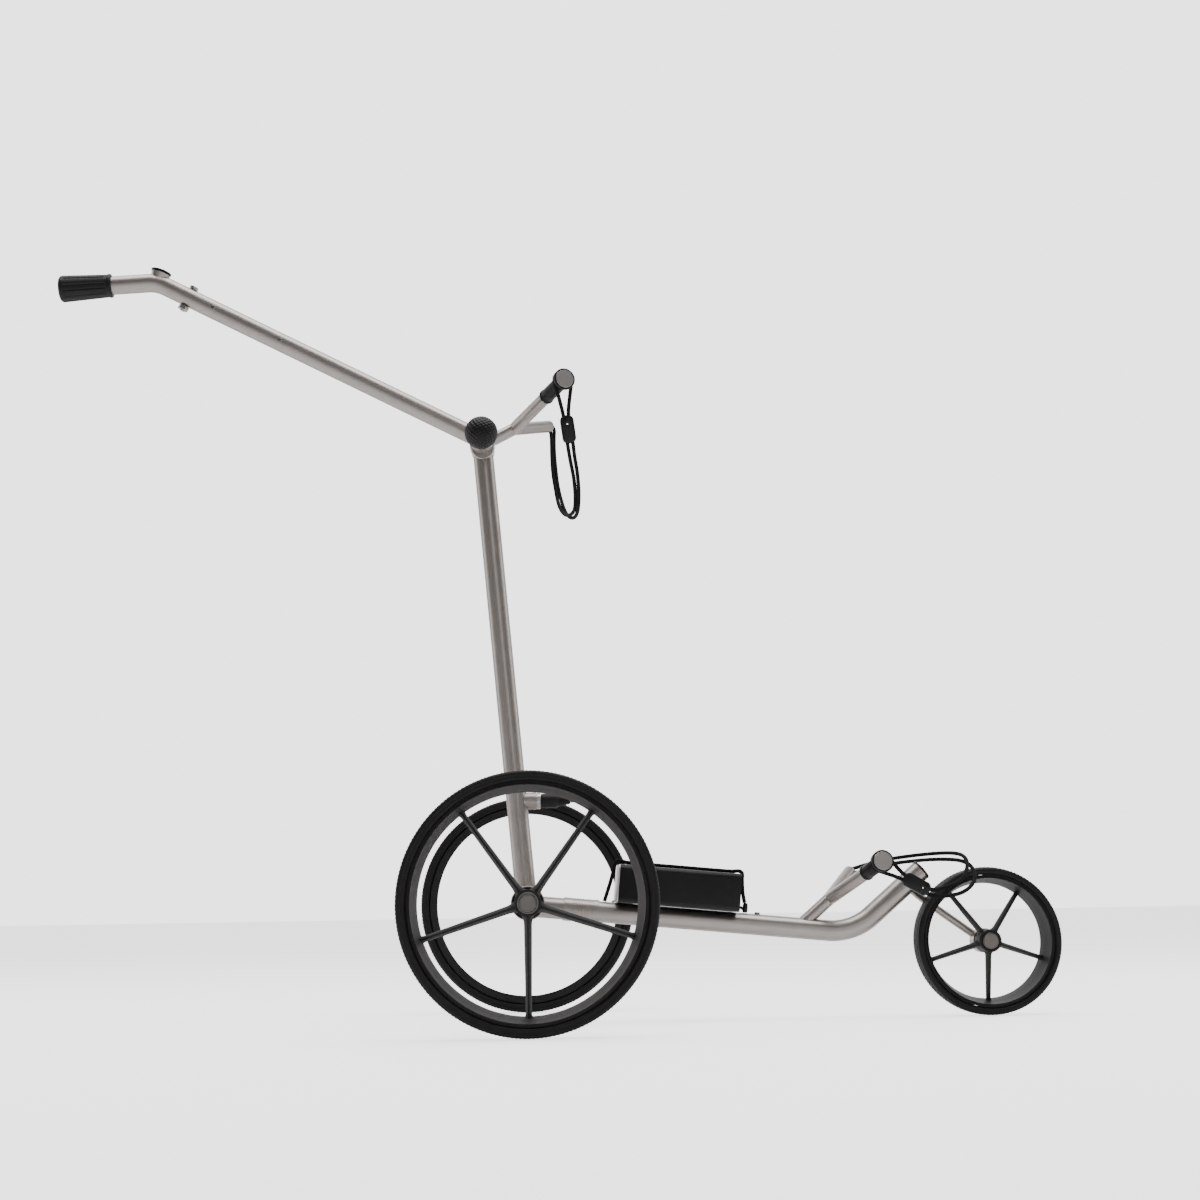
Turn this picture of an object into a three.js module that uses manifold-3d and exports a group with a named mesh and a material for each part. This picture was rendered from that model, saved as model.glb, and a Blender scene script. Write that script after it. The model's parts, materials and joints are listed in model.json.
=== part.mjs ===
// Three-wheeled electric golf trolley, in millimetres, +X forward, +Y to the left, +Z up.
// Everything is laid out from the middle of the rear axle; the last lines move the whole
// trolley so that its origin is on the ground, below the middle of its bounding box.
import * as THREE from "three";
import { mergeVertices } from "three/addons/utils/BufferGeometryUtils.js";
import Module from "manifold-3d";

const wasm = await Module();
wasm.setup();

// ---------------------------------------------------------------- driving dimensions
const DEG = Math.PI / 180;
const GAP = 0.3; // between pieces that touch

const REAR_RADIUS = 150;
const TRACK = 540; // between the middles of the two rear tyres
const FRONT_RADIUS = 93.6;
// Sides of the round pieces, by size.
const WHEEL_SIDES = 32;
const LARGE = 16;
const MEDIUM = 12;
const SMALL = 8;

const POST_LEAN = 5 * DEG;
const POST_RADIUS = 13.4;
const PIVOT = new THREE.Vector3(-53.6, 0, 600.7); // axis of the folding joint, along Y
const HEAD_HALF = 13.9; // half width of the post's head
const HEAD_RADIUS = 16.6;
const LOW_HEAD = PIVOT.clone().add(new THREE.Vector3(0.7, 0, -6.3)); // the head's lower lobe
const LOW_HEAD_RADIUS = 15.3;

const HANDLE_SLOPE = 26.95 * DEG;
const HANDLE_Y = -29.5; // the handle folds down beside the post
const HANDLE_RADIUS = 12.1;
const HANDLE_LENGTH = 477.6; // pivot to the corner of the bend
const GRIP_SLOPE = -3.9 * DEG;

const LOWER_SLOPE = 5.6 * DEG; // the lower tube falls towards the front
const LOWER_DROP = -2.6;
const TUBE_RADIUS = 13.3;
const TUBE_WALL = 1.6;
const NOSE_SLOPE = 46.1 * DEG; // rise of the lower tube's front end above its own axis
const SHOULDER = 60; // where the lower tube butts against the spigot

const ARM_RADIUS = 8.2; // tubes of both bag brackets
const ARM_WALL = 1.4;
const CORD_RADIUS = 2.5;
const LEAD_RADIUS = 2.5;

// ---------------------------------------------------------------- materials
const finish = (color, roughness, metalness) =>
  new THREE.MeshStandardMaterial({ color, roughness, metalness });
const TITANIUM = finish(0xa59b96, 0.34, 1);
const STEEL = finish(0xc4c2bf, 0.25, 1);
const WHEEL_PLASTIC = finish(0x3c3a39, 0.55, 0);
const BLACK_PLASTIC = finish(0x232122, 0.45, 0);
const RUBBER = finish(0x1d1b1b, 0.8, 0);
const TYRE = finish(0x3a3838, 0.75, 0);
const CORD = finish(0x171516, 0.85, 0);
const BOARD = finish(0x1f5a36, 0.6, 0);
const CELLS = finish(0x2f5f8f, 0.6, 0);

// ---------------------------------------------------------------- solid helpers
// Radius of a bore that clears a round piece all round, although both have flat sides.
const clear = (radius) => (radius + GAP) / Math.cos(Math.PI / LARGE);

const at = (x, y, z) => new THREE.Vector3(x, y, z);

// A closed three.js geometry as a manifold-3d solid with its faces pointing out.
function solid(geometry, matrix = new THREE.Matrix4()) {
  const bare = new THREE.BufferGeometry();
  bare.setAttribute("position", geometry.getAttribute("position").clone());
  bare.setIndex(geometry.index);
  bare.applyMatrix4(matrix);
  const merged = mergeVertices(bare, 1e-4);
  const index = merged.index.array;
  const kept = [];
  for (let i = 0; i < index.length; i += 3) {
    const [a, b, c] = [index[i], index[i + 1], index[i + 2]];
    if (a !== b && b !== c && c !== a) kept.push(a, b, c);
  }
  const build = (triangles) =>
    new wasm.Manifold(
      new wasm.Mesh({
        numProp: 3,
        vertProperties: new Float32Array(merged.attributes.position.array),
        triVerts: new Uint32Array(triangles),
      }),
    );
  const made = build(kept);
  return made.volume() < 0 ? build(kept.reverse()) : made;
}

// The surface of a solid as a three.js geometry.
function surface(body) {
  const mesh = body.getMesh();
  const geometry = new THREE.BufferGeometry();
  geometry.setAttribute("position", new THREE.BufferAttribute(mesh.vertProperties, 3));
  geometry.setIndex(new THREE.BufferAttribute(mesh.triVerts, 1));
  geometry.computeVertexNormals();
  return geometry;
}

const join = (...bodies) => bodies.reduce((sum, body) => sum.add(body));

// Matrix that puts the local Y axis along a direction, with its origin at a point.
function aim(origin, direction) {
  const turn = new THREE.Quaternion().setFromUnitVectors(at(0, 1, 0), direction.clone().normalize());
  return new THREE.Matrix4().compose(origin, turn, at(1, 1, 1));
}

// Solid of revolution about a line: the profile is a closed list of [radius, distance].
function turned(profile, origin, direction, sides = MEDIUM) {
  const points = profile.map(([radius, distance]) => new THREE.Vector2(radius, distance));
  return solid(new THREE.LatheGeometry([...points, points[0]], sides), aim(origin, direction));
}

// Plain round bar from one point to another.
function bar(from, to, radius, sides = MEDIUM) {
  const along = to.clone().sub(from);
  const length = along.length();
  const profile = [[0, 0], [radius, 0], [radius, length], [0, length]];
  return turned(profile, from, along, sides);
}

// Round pipe from one point to another.
function pipe(from, to, outer, inner, sides = LARGE) {
  const along = to.clone().sub(from);
  const length = along.length();
  const profile = [[inner, 0], [outer, 0], [outer, length], [inner, length]];
  return turned(profile, from, along, sides);
}

const block = (x, y, z, centre) =>
  solid(new THREE.BoxGeometry(x, y, z), new THREE.Matrix4().setPosition(centre));

// A route of given stations, each used as it is, so that straight runs need only two.
class Stations extends THREE.Curve {
  constructor(points) {
    super();
    this.points = points;
  }
  getPoint(t) {
    const place = t * (this.points.length - 1);
    const before = Math.min(Math.floor(place), this.points.length - 2);
    return this.points[before].clone().lerp(this.points[before + 1], place - before);
  }
  getPointAt(u) {
    return this.getPoint(u);
  }
  getTangentAt(u) {
    const last = this.points.length - 1;
    const here = Math.round(u * last);
    const ahead = this.points[Math.min(here + 1, last)].clone().sub(this.points[Math.min(here, last - 1)]);
    const behind = this.points[Math.max(here, 1)].clone().sub(this.points[Math.max(here - 1, 0)]);
    return ahead.normalize().add(behind.normalize()).normalize();
  }
}

// Stations of a route with one rounded corner.
function rounded(start, corner, end, radius, steps = 6) {
  const inward = corner.clone().sub(start).normalize();
  const outward = end.clone().sub(corner).normalize();
  const turn = inward.angleTo(outward);
  const cut = radius * Math.tan(turn / 2);
  const first = corner.clone().addScaledVector(inward, -cut);
  const side = outward.clone().addScaledVector(inward, -outward.dot(inward)).normalize();
  const arc = Array.from({ length: steps + 1 }, (_, i) => {
    const angle = (turn * i) / steps;
    return first
      .clone()
      .addScaledVector(inward, radius * Math.sin(angle))
      .addScaledVector(side, radius * (1 - Math.cos(angle)));
  });
  return [start, ...arc, end];
}

function circle(radius, sides) {
  const points = Array.from({ length: sides }, (_, i) => {
    const angle = (2 * Math.PI * i) / sides;
    return new THREE.Vector2(radius * Math.cos(angle), radius * Math.sin(angle));
  });
  return points;
}

// Tube or bar along stations.
function sweep(stations, outer, inner = 0, sides = MEDIUM) {
  const section = new THREE.Shape(circle(outer, sides));
  if (inner > 0) section.holes.push(new THREE.Path(circle(inner, sides)));
  const path = new Stations(stations);
  const settings = { steps: stations.length - 1, extrudePath: path, bevelEnabled: false };
  return solid(new THREE.ExtrudeGeometry(section, settings));
}

// Cord along a smooth route.
function cord(points, radius, steps, sides = 8) {
  const curve = new THREE.CatmullRomCurve3(points, false, "centripetal");
  return sweep(curve.getSpacedPoints(steps), radius, 0, sides);
}

function piece(name, body, material, group) {
  const mesh = new THREE.Mesh(surface(body), material);
  mesh.name = name;
  group.add(mesh);
}

const trolley = new THREE.Group();

// ---------------------------------------------------------------- rear axle and drive
const AXLE_RADIUS = 19.5;
const AXLE_BORE = 17.8;
const AXLE_HALF = 240;
const SHAFT_RADIUS = 6;
const LEFT = at(0, 1, 0);

function buildAxle() {
  const tube = pipe(at(0, -AXLE_HALF, 0), at(0, AXLE_HALF, 0), AXLE_RADIUS, AXLE_BORE, LARGE);
  piece("axle_tube", tube, TITANIUM, trolley);
  for (const [side, sign] of [["right", -1], ["left", 1]]) {
    const out = LEFT.clone().multiplyScalar(sign);
    const motor = [[0, 62], [16, 62], [16, 148], [17.3, 150], [17.3, 200], [9, 200], [9, 206], [0, 206]];
    piece(`gearmotor_${side}`, turned(motor, at(0, 0, 0), out, MEDIUM), STEEL, trolley);
    const bearing = [[6.4, 228], [17.4, 228], [17.4, 239], [6.4, 239]];
    piece(`axle_bearing_${side}`, turned(bearing, at(0, 0, 0), out, MEDIUM), STEEL, trolley);
    const shaft = [
      [0, 207], [SHAFT_RADIUS, 207], [SHAFT_RADIUS, 241.5], [18.4, 241.5], [18.4, 246.5],
      [SHAFT_RADIUS, 246.5], [SHAFT_RADIUS, 266], [0, 266],
    ];
    piece(`drive_shaft_${side}`, turned(shaft, at(0, 0, 0), out, MEDIUM), BLACK_PLASTIC, trolley);
  }
}

// ---------------------------------------------------------------- wheels
// A wheel is built about its own Y axis: -Y is its outer face. One spoke points down.
const SPOKES = 5;

function tyreRing(radius, seat, half) {
  const wall = seat + 7;
  const profile = [
    [seat, -half + 1], [wall, -half], [radius - 1, -half + 7], [radius, 0], [radius - 1, half - 7],
    [wall, half], [seat, half - 1],
  ];
  return turned(profile, at(0, 0, 0), LEFT, WHEEL_SIDES);
}

// One spoke, a bar with a flat top and sloping flanks, from the hub out to the rim.
function spoke(angle, inner, outer, [hubWide, rimWide], [hubY, rimY], depth) {
  const corners = [];
  for (const [radius, wide, y] of [[inner, hubWide, hubY], [outer, rimWide, rimY]]) {
    for (const [across, deep] of [[-0.2, 0], [0.2, 0], [0.5, 0.45], [0.5, 1], [-0.5, 1], [-0.5, 0.45]]) {
      corners.push(at(radius, y + deep * depth, across * wide));
    }
  }
  const faces = [];
  for (let i = 0; i < 6; i += 1) {
    const next = (i + 1) % 6;
    faces.push(i, next, 6 + next, i, 6 + next, 6 + i);
  }
  for (let i = 1; i < 5; i += 1) faces.push(0, i + 1, i, 6, 6 + i, 6 + i + 1);
  const geometry = new THREE.BufferGeometry().setFromPoints(corners);
  geometry.setIndex(faces);
  return solid(geometry, new THREE.Matrix4().makeRotationY(-angle));
}

function wheelDisc(ring, hub, inner, outer, wides, depths, depth) {
  let disc = ring.add(hub);
  for (let i = 0; i < SPOKES; i += 1) {
    const angle = (-90 + (360 / SPOKES) * i) * DEG;
    disc = disc.add(spoke(angle, inner, outer, wides, depths, depth));
  }
  return disc;
}

function buildRearWheel(side, sign) {
  const group = new THREE.Group();
  group.position.set(0, (sign * TRACK) / 2, 0);
  group.rotation.z = sign > 0 ? Math.PI : 0;
  trolley.add(group);
  const seat = 136.5;
  piece(`tyre_${side}`, tyreRing(REAR_RADIUS, seat + GAP, 21.5), TYRE, group);
  const ring = turned([[133.2, -20], [seat, -20], [seat, 20], [126.2, 20]], at(0, 0, 0), LEFT, WHEEL_SIDES);
  const hub = turned(
    [[10.8, -8], [14.4, -8], [14.4, 22.5], [6.4, 22.5], [6.4, 2], [10.8, 2]],
    at(0, 0, 0), LEFT, LARGE,
  );
  const disc = wheelDisc(ring, hub, 13, 128.5, [10.5, 7.5], [4, 10], 10);
  piece(`rim_${side}`, disc, WHEEL_PLASTIC, group);
  const button = [[0, -9.5], [9.6, -9.5], [10.3, -8.8], [10.3, -2], [0, -2]];
  piece(`release_button_${side}`, turned(button, at(0, 0, 0), LEFT, LARGE), TITANIUM, group);
}

// ---------------------------------------------------------------- main post
const POST_UP = at(-Math.sin(POST_LEAN), 0, Math.cos(POST_LEAN));

function buildPost() {
  const foot = PIVOT.clone().addScaledVector(POST_UP, -603);
  const neck = PIVOT.clone().addScaledVector(POST_UP, -8);
  const axleCut = bar(at(0, -40, 0), at(0, 40, 0), clear(AXLE_RADIUS), LARGE);
  const across = (centre, half, radius) =>
    bar(centre.clone().add(at(0, -half, 0)), centre.clone().add(at(0, half, 0)), radius, LARGE);
  const head = join(
    across(PIVOT, HEAD_HALF, HEAD_RADIUS),
    across(LOW_HEAD, HEAD_HALF, LOW_HEAD_RADIUS),
  );
  const bolt = across(PIVOT, HEAD_HALF + 20, 5.4);
  const post = pipe(foot, neck, POST_RADIUS, POST_RADIUS - TUBE_WALL, LARGE);
  const socketHole = bar(at(-12, 0, SOCKET_Z), at(8, 0, SOCKET_Z), 6, MEDIUM);
  piece("main_post", post.add(head).subtract(bolt).subtract(axleCut).subtract(socketHole), TITANIUM, trolley);
}

// ---------------------------------------------------------------- bag brackets
// A stem carries two arms that spread to the left and the right. `slope` is the rise of the
// plane that holds them, `spread` how far they reach forward for each millimetre sideways.
function bracket(base, fork, slope, spread, reach) {
  const forward = at(Math.cos(slope), 0, Math.sin(slope));
  const tip = (sign) => fork.clone().addScaledVector(forward, spread * reach).add(at(0, sign * reach, 0));
  const bend = 17;
  const route = rounded(tip(-1), fork, tip(1), bend, 6);
  const vee = sweep(route, ARM_RADIUS, ARM_RADIUS - ARM_WALL, MEDIUM);
  const inside = sweep(route, ARM_RADIUS - ARM_WALL, 0, MEDIUM);
  const stemEnd = fork.clone().addScaledVector(forward, bend * 0.32);
  const stem = bar(base, stemEnd, ARM_RADIUS, MEDIUM);
  return { vee, stem, inside, tip };
}

// Moulded end knob: a sleeve over the arm's end, a narrow neck that the strap hooks round,
// and a wide flange with a round metal face.
const KNOB_RADIUS = 14;
const FLANGE_DEPTH = 5;
const NECK_RADIUS = 8.4;
const NECK_BACK = 12; // where the sleeve ends, behind the face
const SLEEVE_RADIUS = 9.3;

function knob(armEnd, armWay, face, facing) {
  const behind = (depth) => face.clone().addScaledVector(facing, -depth);
  const start = armEnd.clone().addScaledVector(armWay, -11);
  const elbow = behind(NECK_BACK + 2);
  const round = solid(new THREE.SphereGeometry(SLEEVE_RADIUS, MEDIUM, 6), aim(elbow, elbow.clone().sub(start)));
  const collar = bar(start, start.clone().addScaledVector(armWay, 3), SLEEVE_RADIUS + 0.8, MEDIUM);
  const sleeve = join(bar(start, elbow, SLEEVE_RADIUS, MEDIUM), round, collar)
    .subtract(bar(behind(NECK_BACK), behind(-30), 30, SMALL));
  const flange = turned(
    [[0, -FLANGE_DEPTH], [KNOB_RADIUS - 1.4, -FLANGE_DEPTH], [KNOB_RADIUS, -FLANGE_DEPTH + 1.4],
      [KNOB_RADIUS, -1], [KNOB_RADIUS - 1, 0], [11.9, 0], [11.9, -1.6], [0, -1.6]],
    face, facing, LARGE,
  );
  const stem = bar(behind(NECK_BACK + 3), behind(FLANGE_DEPTH - 1), NECK_RADIUS, MEDIUM);
  const hollow = bar(start.clone().addScaledVector(armWay, -2), armEnd.clone().addScaledVector(armWay, GAP),
    clear(ARM_RADIUS), LARGE);
  const plate = bar(behind(1.6 - GAP), behind(-0.2), 11.6, LARGE);
  const neck = behind((NECK_BACK + FLANGE_DEPTH) / 2);
  return { body: join(sleeve, stem, flange).subtract(hollow), plate, neck };
}

// Centre line of a doubled strap: out to the slider, through it, once round the knob's neck
// just behind its flange, and back through the slider.
function strapRoute(outward, place, neck, facing, inward) {
  const lateral = new THREE.Vector3().crossVectors(place.down, place.facing).normalize();
  const strand = (side, along) => place.centre.clone()
    .addScaledVector(lateral, (side * SLIDER.pitch) / 2)
    .addScaledVector(place.down, along);
  const below = SLIDER.length / 2 + 2;
  const radius = NECK_RADIUS + CORD_RADIUS + 0.6;
  const [first, last] = [strand(place.side, -below), strand(-place.side, -below)];
  const away = place.centre.clone().sub(neck);
  const ahead = away.addScaledVector(facing, -away.dot(facing)).normalize();
  const aside = new THREE.Vector3().crossVectors(facing, ahead);
  const touch = (point) => {
    const from = point.clone().sub(neck);
    const [a, b] = [from.dot(ahead), from.dot(aside)];
    return Math.atan2(b, a) + Math.sign(b) * Math.acos(radius / Math.hypot(a, b));
  };
  const [start, end] = [touch(first), touch(last)];
  const turn = end - start + (start > 0 ? 2 : -2) * Math.PI;
  const round = Array.from({ length: 11 }, (_, i) => {
    const angle = start + (turn * i) / 10;
    return neck.clone()
      .addScaledVector(ahead, radius * Math.cos(angle))
      .addScaledVector(aside, radius * Math.sin(angle));
  });
  return [
    ...outward.map((p) => at(...p)), strand(place.side, below), strand(place.side, 0), first, ...round, last,
    strand(-place.side, 0), strand(-place.side, below), ...inward.map((p) => at(...p)),
  ];
}

// Plug in the open end of the far arm, which the doubled strap comes out of.
function anchor(armEnd, armWay) {
  const from = armEnd.clone().addScaledVector(armWay, -12);
  return bar(from, armEnd.clone().addScaledVector(armWay, -1.5), ARM_RADIUS - ARM_WALL - GAP, MEDIUM);
}

// Slider on a doubled strap: a rounded block with a channel for each strand and a small eyelet.
const EYELET_RADIUS = 1.3;
const SLIDER = { width: 17.5, depth: 9.6, length: 36, pitch: 7 };

function slider({ centre, down, facing, eyelet }) {
  const lateral = new THREE.Vector3().crossVectors(down, facing).normalize();
  const front = new THREE.Vector3().crossVectors(lateral, down);
  const frame = new THREE.Matrix4().makeBasis(lateral, down, front).setPosition(centre);
  const outline = new THREE.Shape();
  const [w, l, r] = [SLIDER.width / 2, SLIDER.length / 2, 7];
  outline.moveTo(-w + r, -l);
  outline.lineTo(w - r, -l);
  outline.absarc(w - r, -l + r, r, -Math.PI / 2, 0, false);
  outline.absarc(w - r, l - r, r, 0, Math.PI / 2, false);
  outline.absarc(-w + r, l - r, r, Math.PI / 2, Math.PI, false);
  outline.absarc(-w + r, -l + r, r, Math.PI, 1.5 * Math.PI, false);
  const settings = { depth: SLIDER.depth, bevelEnabled: false, curveSegments: 4 };
  const shape = new THREE.ExtrudeGeometry(outline, settings).translate(0, 0, -SLIDER.depth / 2);
  const body = solid(shape, frame);
  const channels = [-1, 1].map((side) => {
    const middle = centre.clone().addScaledVector(lateral, (side * SLIDER.pitch) / 2);
    const reach = SLIDER.length / 2 + 4;
    return bar(middle.clone().addScaledVector(down, -reach), middle.clone().addScaledVector(down, reach),
      CORD_RADIUS + GAP + 0.2, SMALL);
  });
  const hole = centre.clone().addScaledVector(down, (eyelet * SLIDER.length) / 2);
  const through = bar(hole.clone().addScaledVector(front, -SLIDER.depth),
    hole.clone().addScaledVector(front, SLIDER.depth), EYELET_RADIUS, SMALL);
  return body.subtract(channels[0]).subtract(channels[1]).subtract(through);
}

// ---------------------------------------------------------------- upper bag bracket
const UPPER = { fork: at(-11.8, 0, 622.6), slope: 28.25 * DEG, spread: 0.64, reach: 84.4 };
const UPPER_FACE = at(54.2, -117, 658);
const UPPER_FACING = at(0.3, -0.95, 0.04).normalize();
const UPPER_SLIDER = {
  centre: at(58, -92, 598),
  down: at(0.137, 0.11, -0.984).normalize(),
  facing: at(0.02, -1, -0.11).normalize(),
  side: -1,
  eyelet: -0.38,
};
const UPPER_STRAP_OUT = [
  [36.2, 86.2, 651.6], [40, 93, 652], [43.5, 98, 647], [43.5, 98.5, 636], [43.5, 95, 614], [45, 89, 590],
  [47, 81, 567], [51, 68, 543], [56, 47, 521], [62, 18, 506], [68, -12, 501], [71, -38, 506],
  [71.5, -60, 524], [69.5, -74, 545], [66, -84, 565],
];
const UPPER_STRAP_BACK = [
  [60.5, -82, 560], [64.8, -70, 540], [67, -52, 521], [66.5, -28, 507.5], [60.5, 3, 506],
  [52.8, 37, 516.5], [47.2, 61, 535], [44, 73.5, 557], [41, 83, 581], [39.8, 89, 606], [39.6, 93, 632],
  [38.6, 94, 642.5], [36.8, 91, 646.8], [34.2, 86.2, 646.4],
];

function buildUpperBracket() {
  const { fork, slope, spread, reach } = UPPER;
  const parts = bracket(PIVOT.clone().addScaledVector(at(Math.cos(slope), 0, Math.sin(slope)), 10),
    fork, slope, spread, reach);
  const gap = (centre, radius) =>
    bar(centre.clone().add(at(0, -20, 0)), centre.clone().add(at(0, 20, 0)), clear(radius), LARGE);
  const headGap = gap(PIVOT, HEAD_RADIUS);
  const lowGap = gap(LOW_HEAD, LOW_HEAD_RADIUS);
  const arms = parts.vee.add(parts.stem.subtract(parts.inside)).subtract(headGap).subtract(lowGap);
  piece("upper_bracket", arms, TITANIUM, trolley);
  const [near, far] = [-1, 1].map((sign) => parts.tip(sign));
  const nearWay = near.clone().sub(fork).normalize();
  const farWay = far.clone().sub(fork).normalize();
  const end = knob(near, nearWay, UPPER_FACE, UPPER_FACING);
  piece("upper_knob", end.body, BLACK_PLASTIC, trolley);
  piece("upper_knob_face", end.plate, TITANIUM, trolley);
  piece("upper_strap_anchor", anchor(far, farWay), BLACK_PLASTIC, trolley);
  const route = strapRoute(UPPER_STRAP_OUT, UPPER_SLIDER, end.neck, UPPER_FACING, UPPER_STRAP_BACK);
  piece("upper_strap", sweep(route, CORD_RADIUS, 0, 8), CORD, trolley);
  piece("upper_strap_slider", slider(UPPER_SLIDER), BLACK_PLASTIC, trolley);
}

// ---------------------------------------------------------------- folding joint and handle
const BARREL_RADIUS = 14.5;
const BARREL_FROM = -HEAD_HALF - GAP;
const BARREL_TO = -44;
const BALL_RADIUS = 21.33;
const BALL_Y = -67.2;
const HANDLE_WAY = at(-Math.cos(HANDLE_SLOPE), 0, Math.sin(HANDLE_SLOPE));
const HANDLE_UP = at(Math.sin(HANDLE_SLOPE), 0, Math.cos(HANDLE_SLOPE));
const GRIP_WAY = at(-Math.cos(GRIP_SLOPE), 0, Math.sin(GRIP_SLOPE));
const HANDLE_ROOT = PIVOT.clone().setY(HANDLE_Y);
const HANDLE_CORNER = HANDLE_ROOT.clone().addScaledVector(HANDLE_WAY, HANDLE_LENGTH);
const DIAL_UP = at(Math.sin(17.4 * DEG), 0, Math.cos(17.4 * DEG));

function buildHandle() {
  const tubeEnd = HANDLE_CORNER.clone().addScaledVector(GRIP_WAY, 108);
  const tubeStart = HANDLE_ROOT.clone().addScaledVector(HANDLE_WAY, 9);
  const route = rounded(tubeStart, HANDLE_CORNER, tubeEnd, 46, 5);
  const bore = HANDLE_RADIUS - TUBE_WALL;
  const boltHole = bar(PIVOT.clone().setY(-10), PIVOT.clone().setY(-50), 5.4, MEDIUM);
  const barrel = bar(PIVOT.clone().setY(BARREL_FROM), PIVOT.clone().setY(BARREL_TO), BARREL_RADIUS, LARGE);
  const stub = turned([[0, 4], [10.4, 4], [12.6, 12.8], [0, 12.8]], HANDLE_CORNER, DIAL_UP, LARGE);
  const stubBore = bar(HANDLE_CORNER, HANDLE_CORNER.clone().addScaledVector(DIAL_UP, 20), 7, MEDIUM);
  const accessory = HANDLE_ROOT.clone().addScaledVector(HANDLE_WAY, 431);
  const accessoryHole = bar(accessory.clone().addScaledVector(HANDLE_UP, -20),
    accessory.clone().addScaledVector(HANDLE_UP, 20), 3.3, SMALL);
  const screwHole = (along) => {
    const place = HANDLE_ROOT.clone().addScaledVector(HANDLE_WAY, along);
    return bar(place.clone().add(at(0, -20, 0)), place.clone().add(at(0, -8, 0)), 2.4, SMALL);
  };
  const tube = sweep(route, HANDLE_RADIUS, bore, LARGE)
    .add(barrel)
    .add(stub.subtract(sweep(route, bore, 0, MEDIUM)))
    .subtract(boltHole).subtract(stubBore).subtract(accessoryHole)
    .subtract(screwHole(295)).subtract(screwHole(393));
  piece("handle_tube", tube, TITANIUM, trolley);

  const gripStart = HANDLE_CORNER.clone().addScaledVector(GRIP_WAY, 59);
  const inner = HANDLE_RADIUS + GAP;
  const grip = [
    [inner, 0], [14.6, 0], [15.6, 1.2], [15.6, 4], [14.8, 5], [15.2, 8], [16.4, 40], [17.6, 62],
    [17.5, 66], [15.5, 68.5], [0, 69.5], [0, 50], [inner, 50],
  ];
  piece("grip", turned(grip, gripStart, GRIP_WAY, LARGE), RUBBER, trolley);

  const boardPlace = HANDLE_ROOT.clone().addScaledVector(HANDLE_WAY, 344);
  const slant = new THREE.Matrix4().makeBasis(HANDLE_WAY, at(0, -1, 0), HANDLE_UP).setPosition(boardPlace);
  piece("control_board", solid(new THREE.BoxGeometry(118, 16, 4), slant), BOARD, trolley);

  const head = bar(accessory.clone().addScaledVector(HANDLE_UP, 12.5),
    accessory.clone().addScaledVector(HANDLE_UP, 16.5), 5.8, MEDIUM);
  const shank = bar(accessory.clone().addScaledVector(HANDLE_UP, -20),
    accessory.clone().addScaledVector(HANDLE_UP, 13), 3, SMALL);
  piece("accessory_bolt", head.add(shank), STEEL, trolley);
  const nut = turned([[0, -18.5], [7, -18.5], [7, -12.6], [0, -12.6]], accessory, HANDLE_UP, 6);
  piece("accessory_nut", nut.subtract(accessoryHole), STEEL, trolley);
  for (const [name, along] of [["board_screw_front", 295], ["board_screw_rear", 393]]) {
    const place = HANDLE_ROOT.clone().addScaledVector(HANDLE_WAY, along);
    const screw = turned([[0, 9.2], [2, 9.2], [2, 12.4], [3.4, 12.4], [2.6, 13.6], [0, 13.6]], place, at(0, -1, 0), SMALL);
    piece(name, screw, STEEL, trolley);
  }

  const shaft = turned([[0, 6], [6.4, 6], [6.4, 10], [3, 10], [3, 14.6], [0, 14.6]], HANDLE_CORNER, DIAL_UP, MEDIUM);
  piece("dial_shaft", shaft, STEEL, trolley);
  const dial = turned(
    [[3.3, 13.9], [12.6, 13.9], [13.4, 14.6], [13.4, 15.6], [12.6, 16.4], [0, 16.4], [0, 14.9], [3.3, 14.9]],
    HANDLE_CORNER, DIAL_UP, LARGE,
  );
  piece("speed_dial", dial, BLACK_PLASTIC, trolley);
}

function buildClamp() {
  const bolt = turned(
    [[0, 20.5], [6.6, 20.5], [9, 18.5], [9, HEAD_HALF + GAP], [5, HEAD_HALF + GAP], [5, -60], [0, -60]],
    PIVOT, LEFT, MEDIUM,
  );
  piece("clamp_bolt", bolt, STEEL, trolley);
  const ball = new THREE.SphereGeometry(BALL_RADIUS, LARGE, 10);
  const centre = PIVOT.clone().setY(BALL_Y);
  const bore = bar(PIVOT.clone().setY(-40), PIVOT.clone().setY(-62), 7.4, MEDIUM);
  piece("clamp_knob", solid(ball, new THREE.Matrix4().setPosition(centre)).subtract(bore), BLACK_PLASTIC, trolley);
  const insert = pipe(PIVOT.clone().setY(-44.6), PIVOT.clone().setY(-61.5), 7.1, 5.4, MEDIUM);
  piece("knob_insert", insert, STEEL, trolley);
}

// ---------------------------------------------------------------- power socket and plug
const SOCKET_Z = 130.2;

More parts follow.
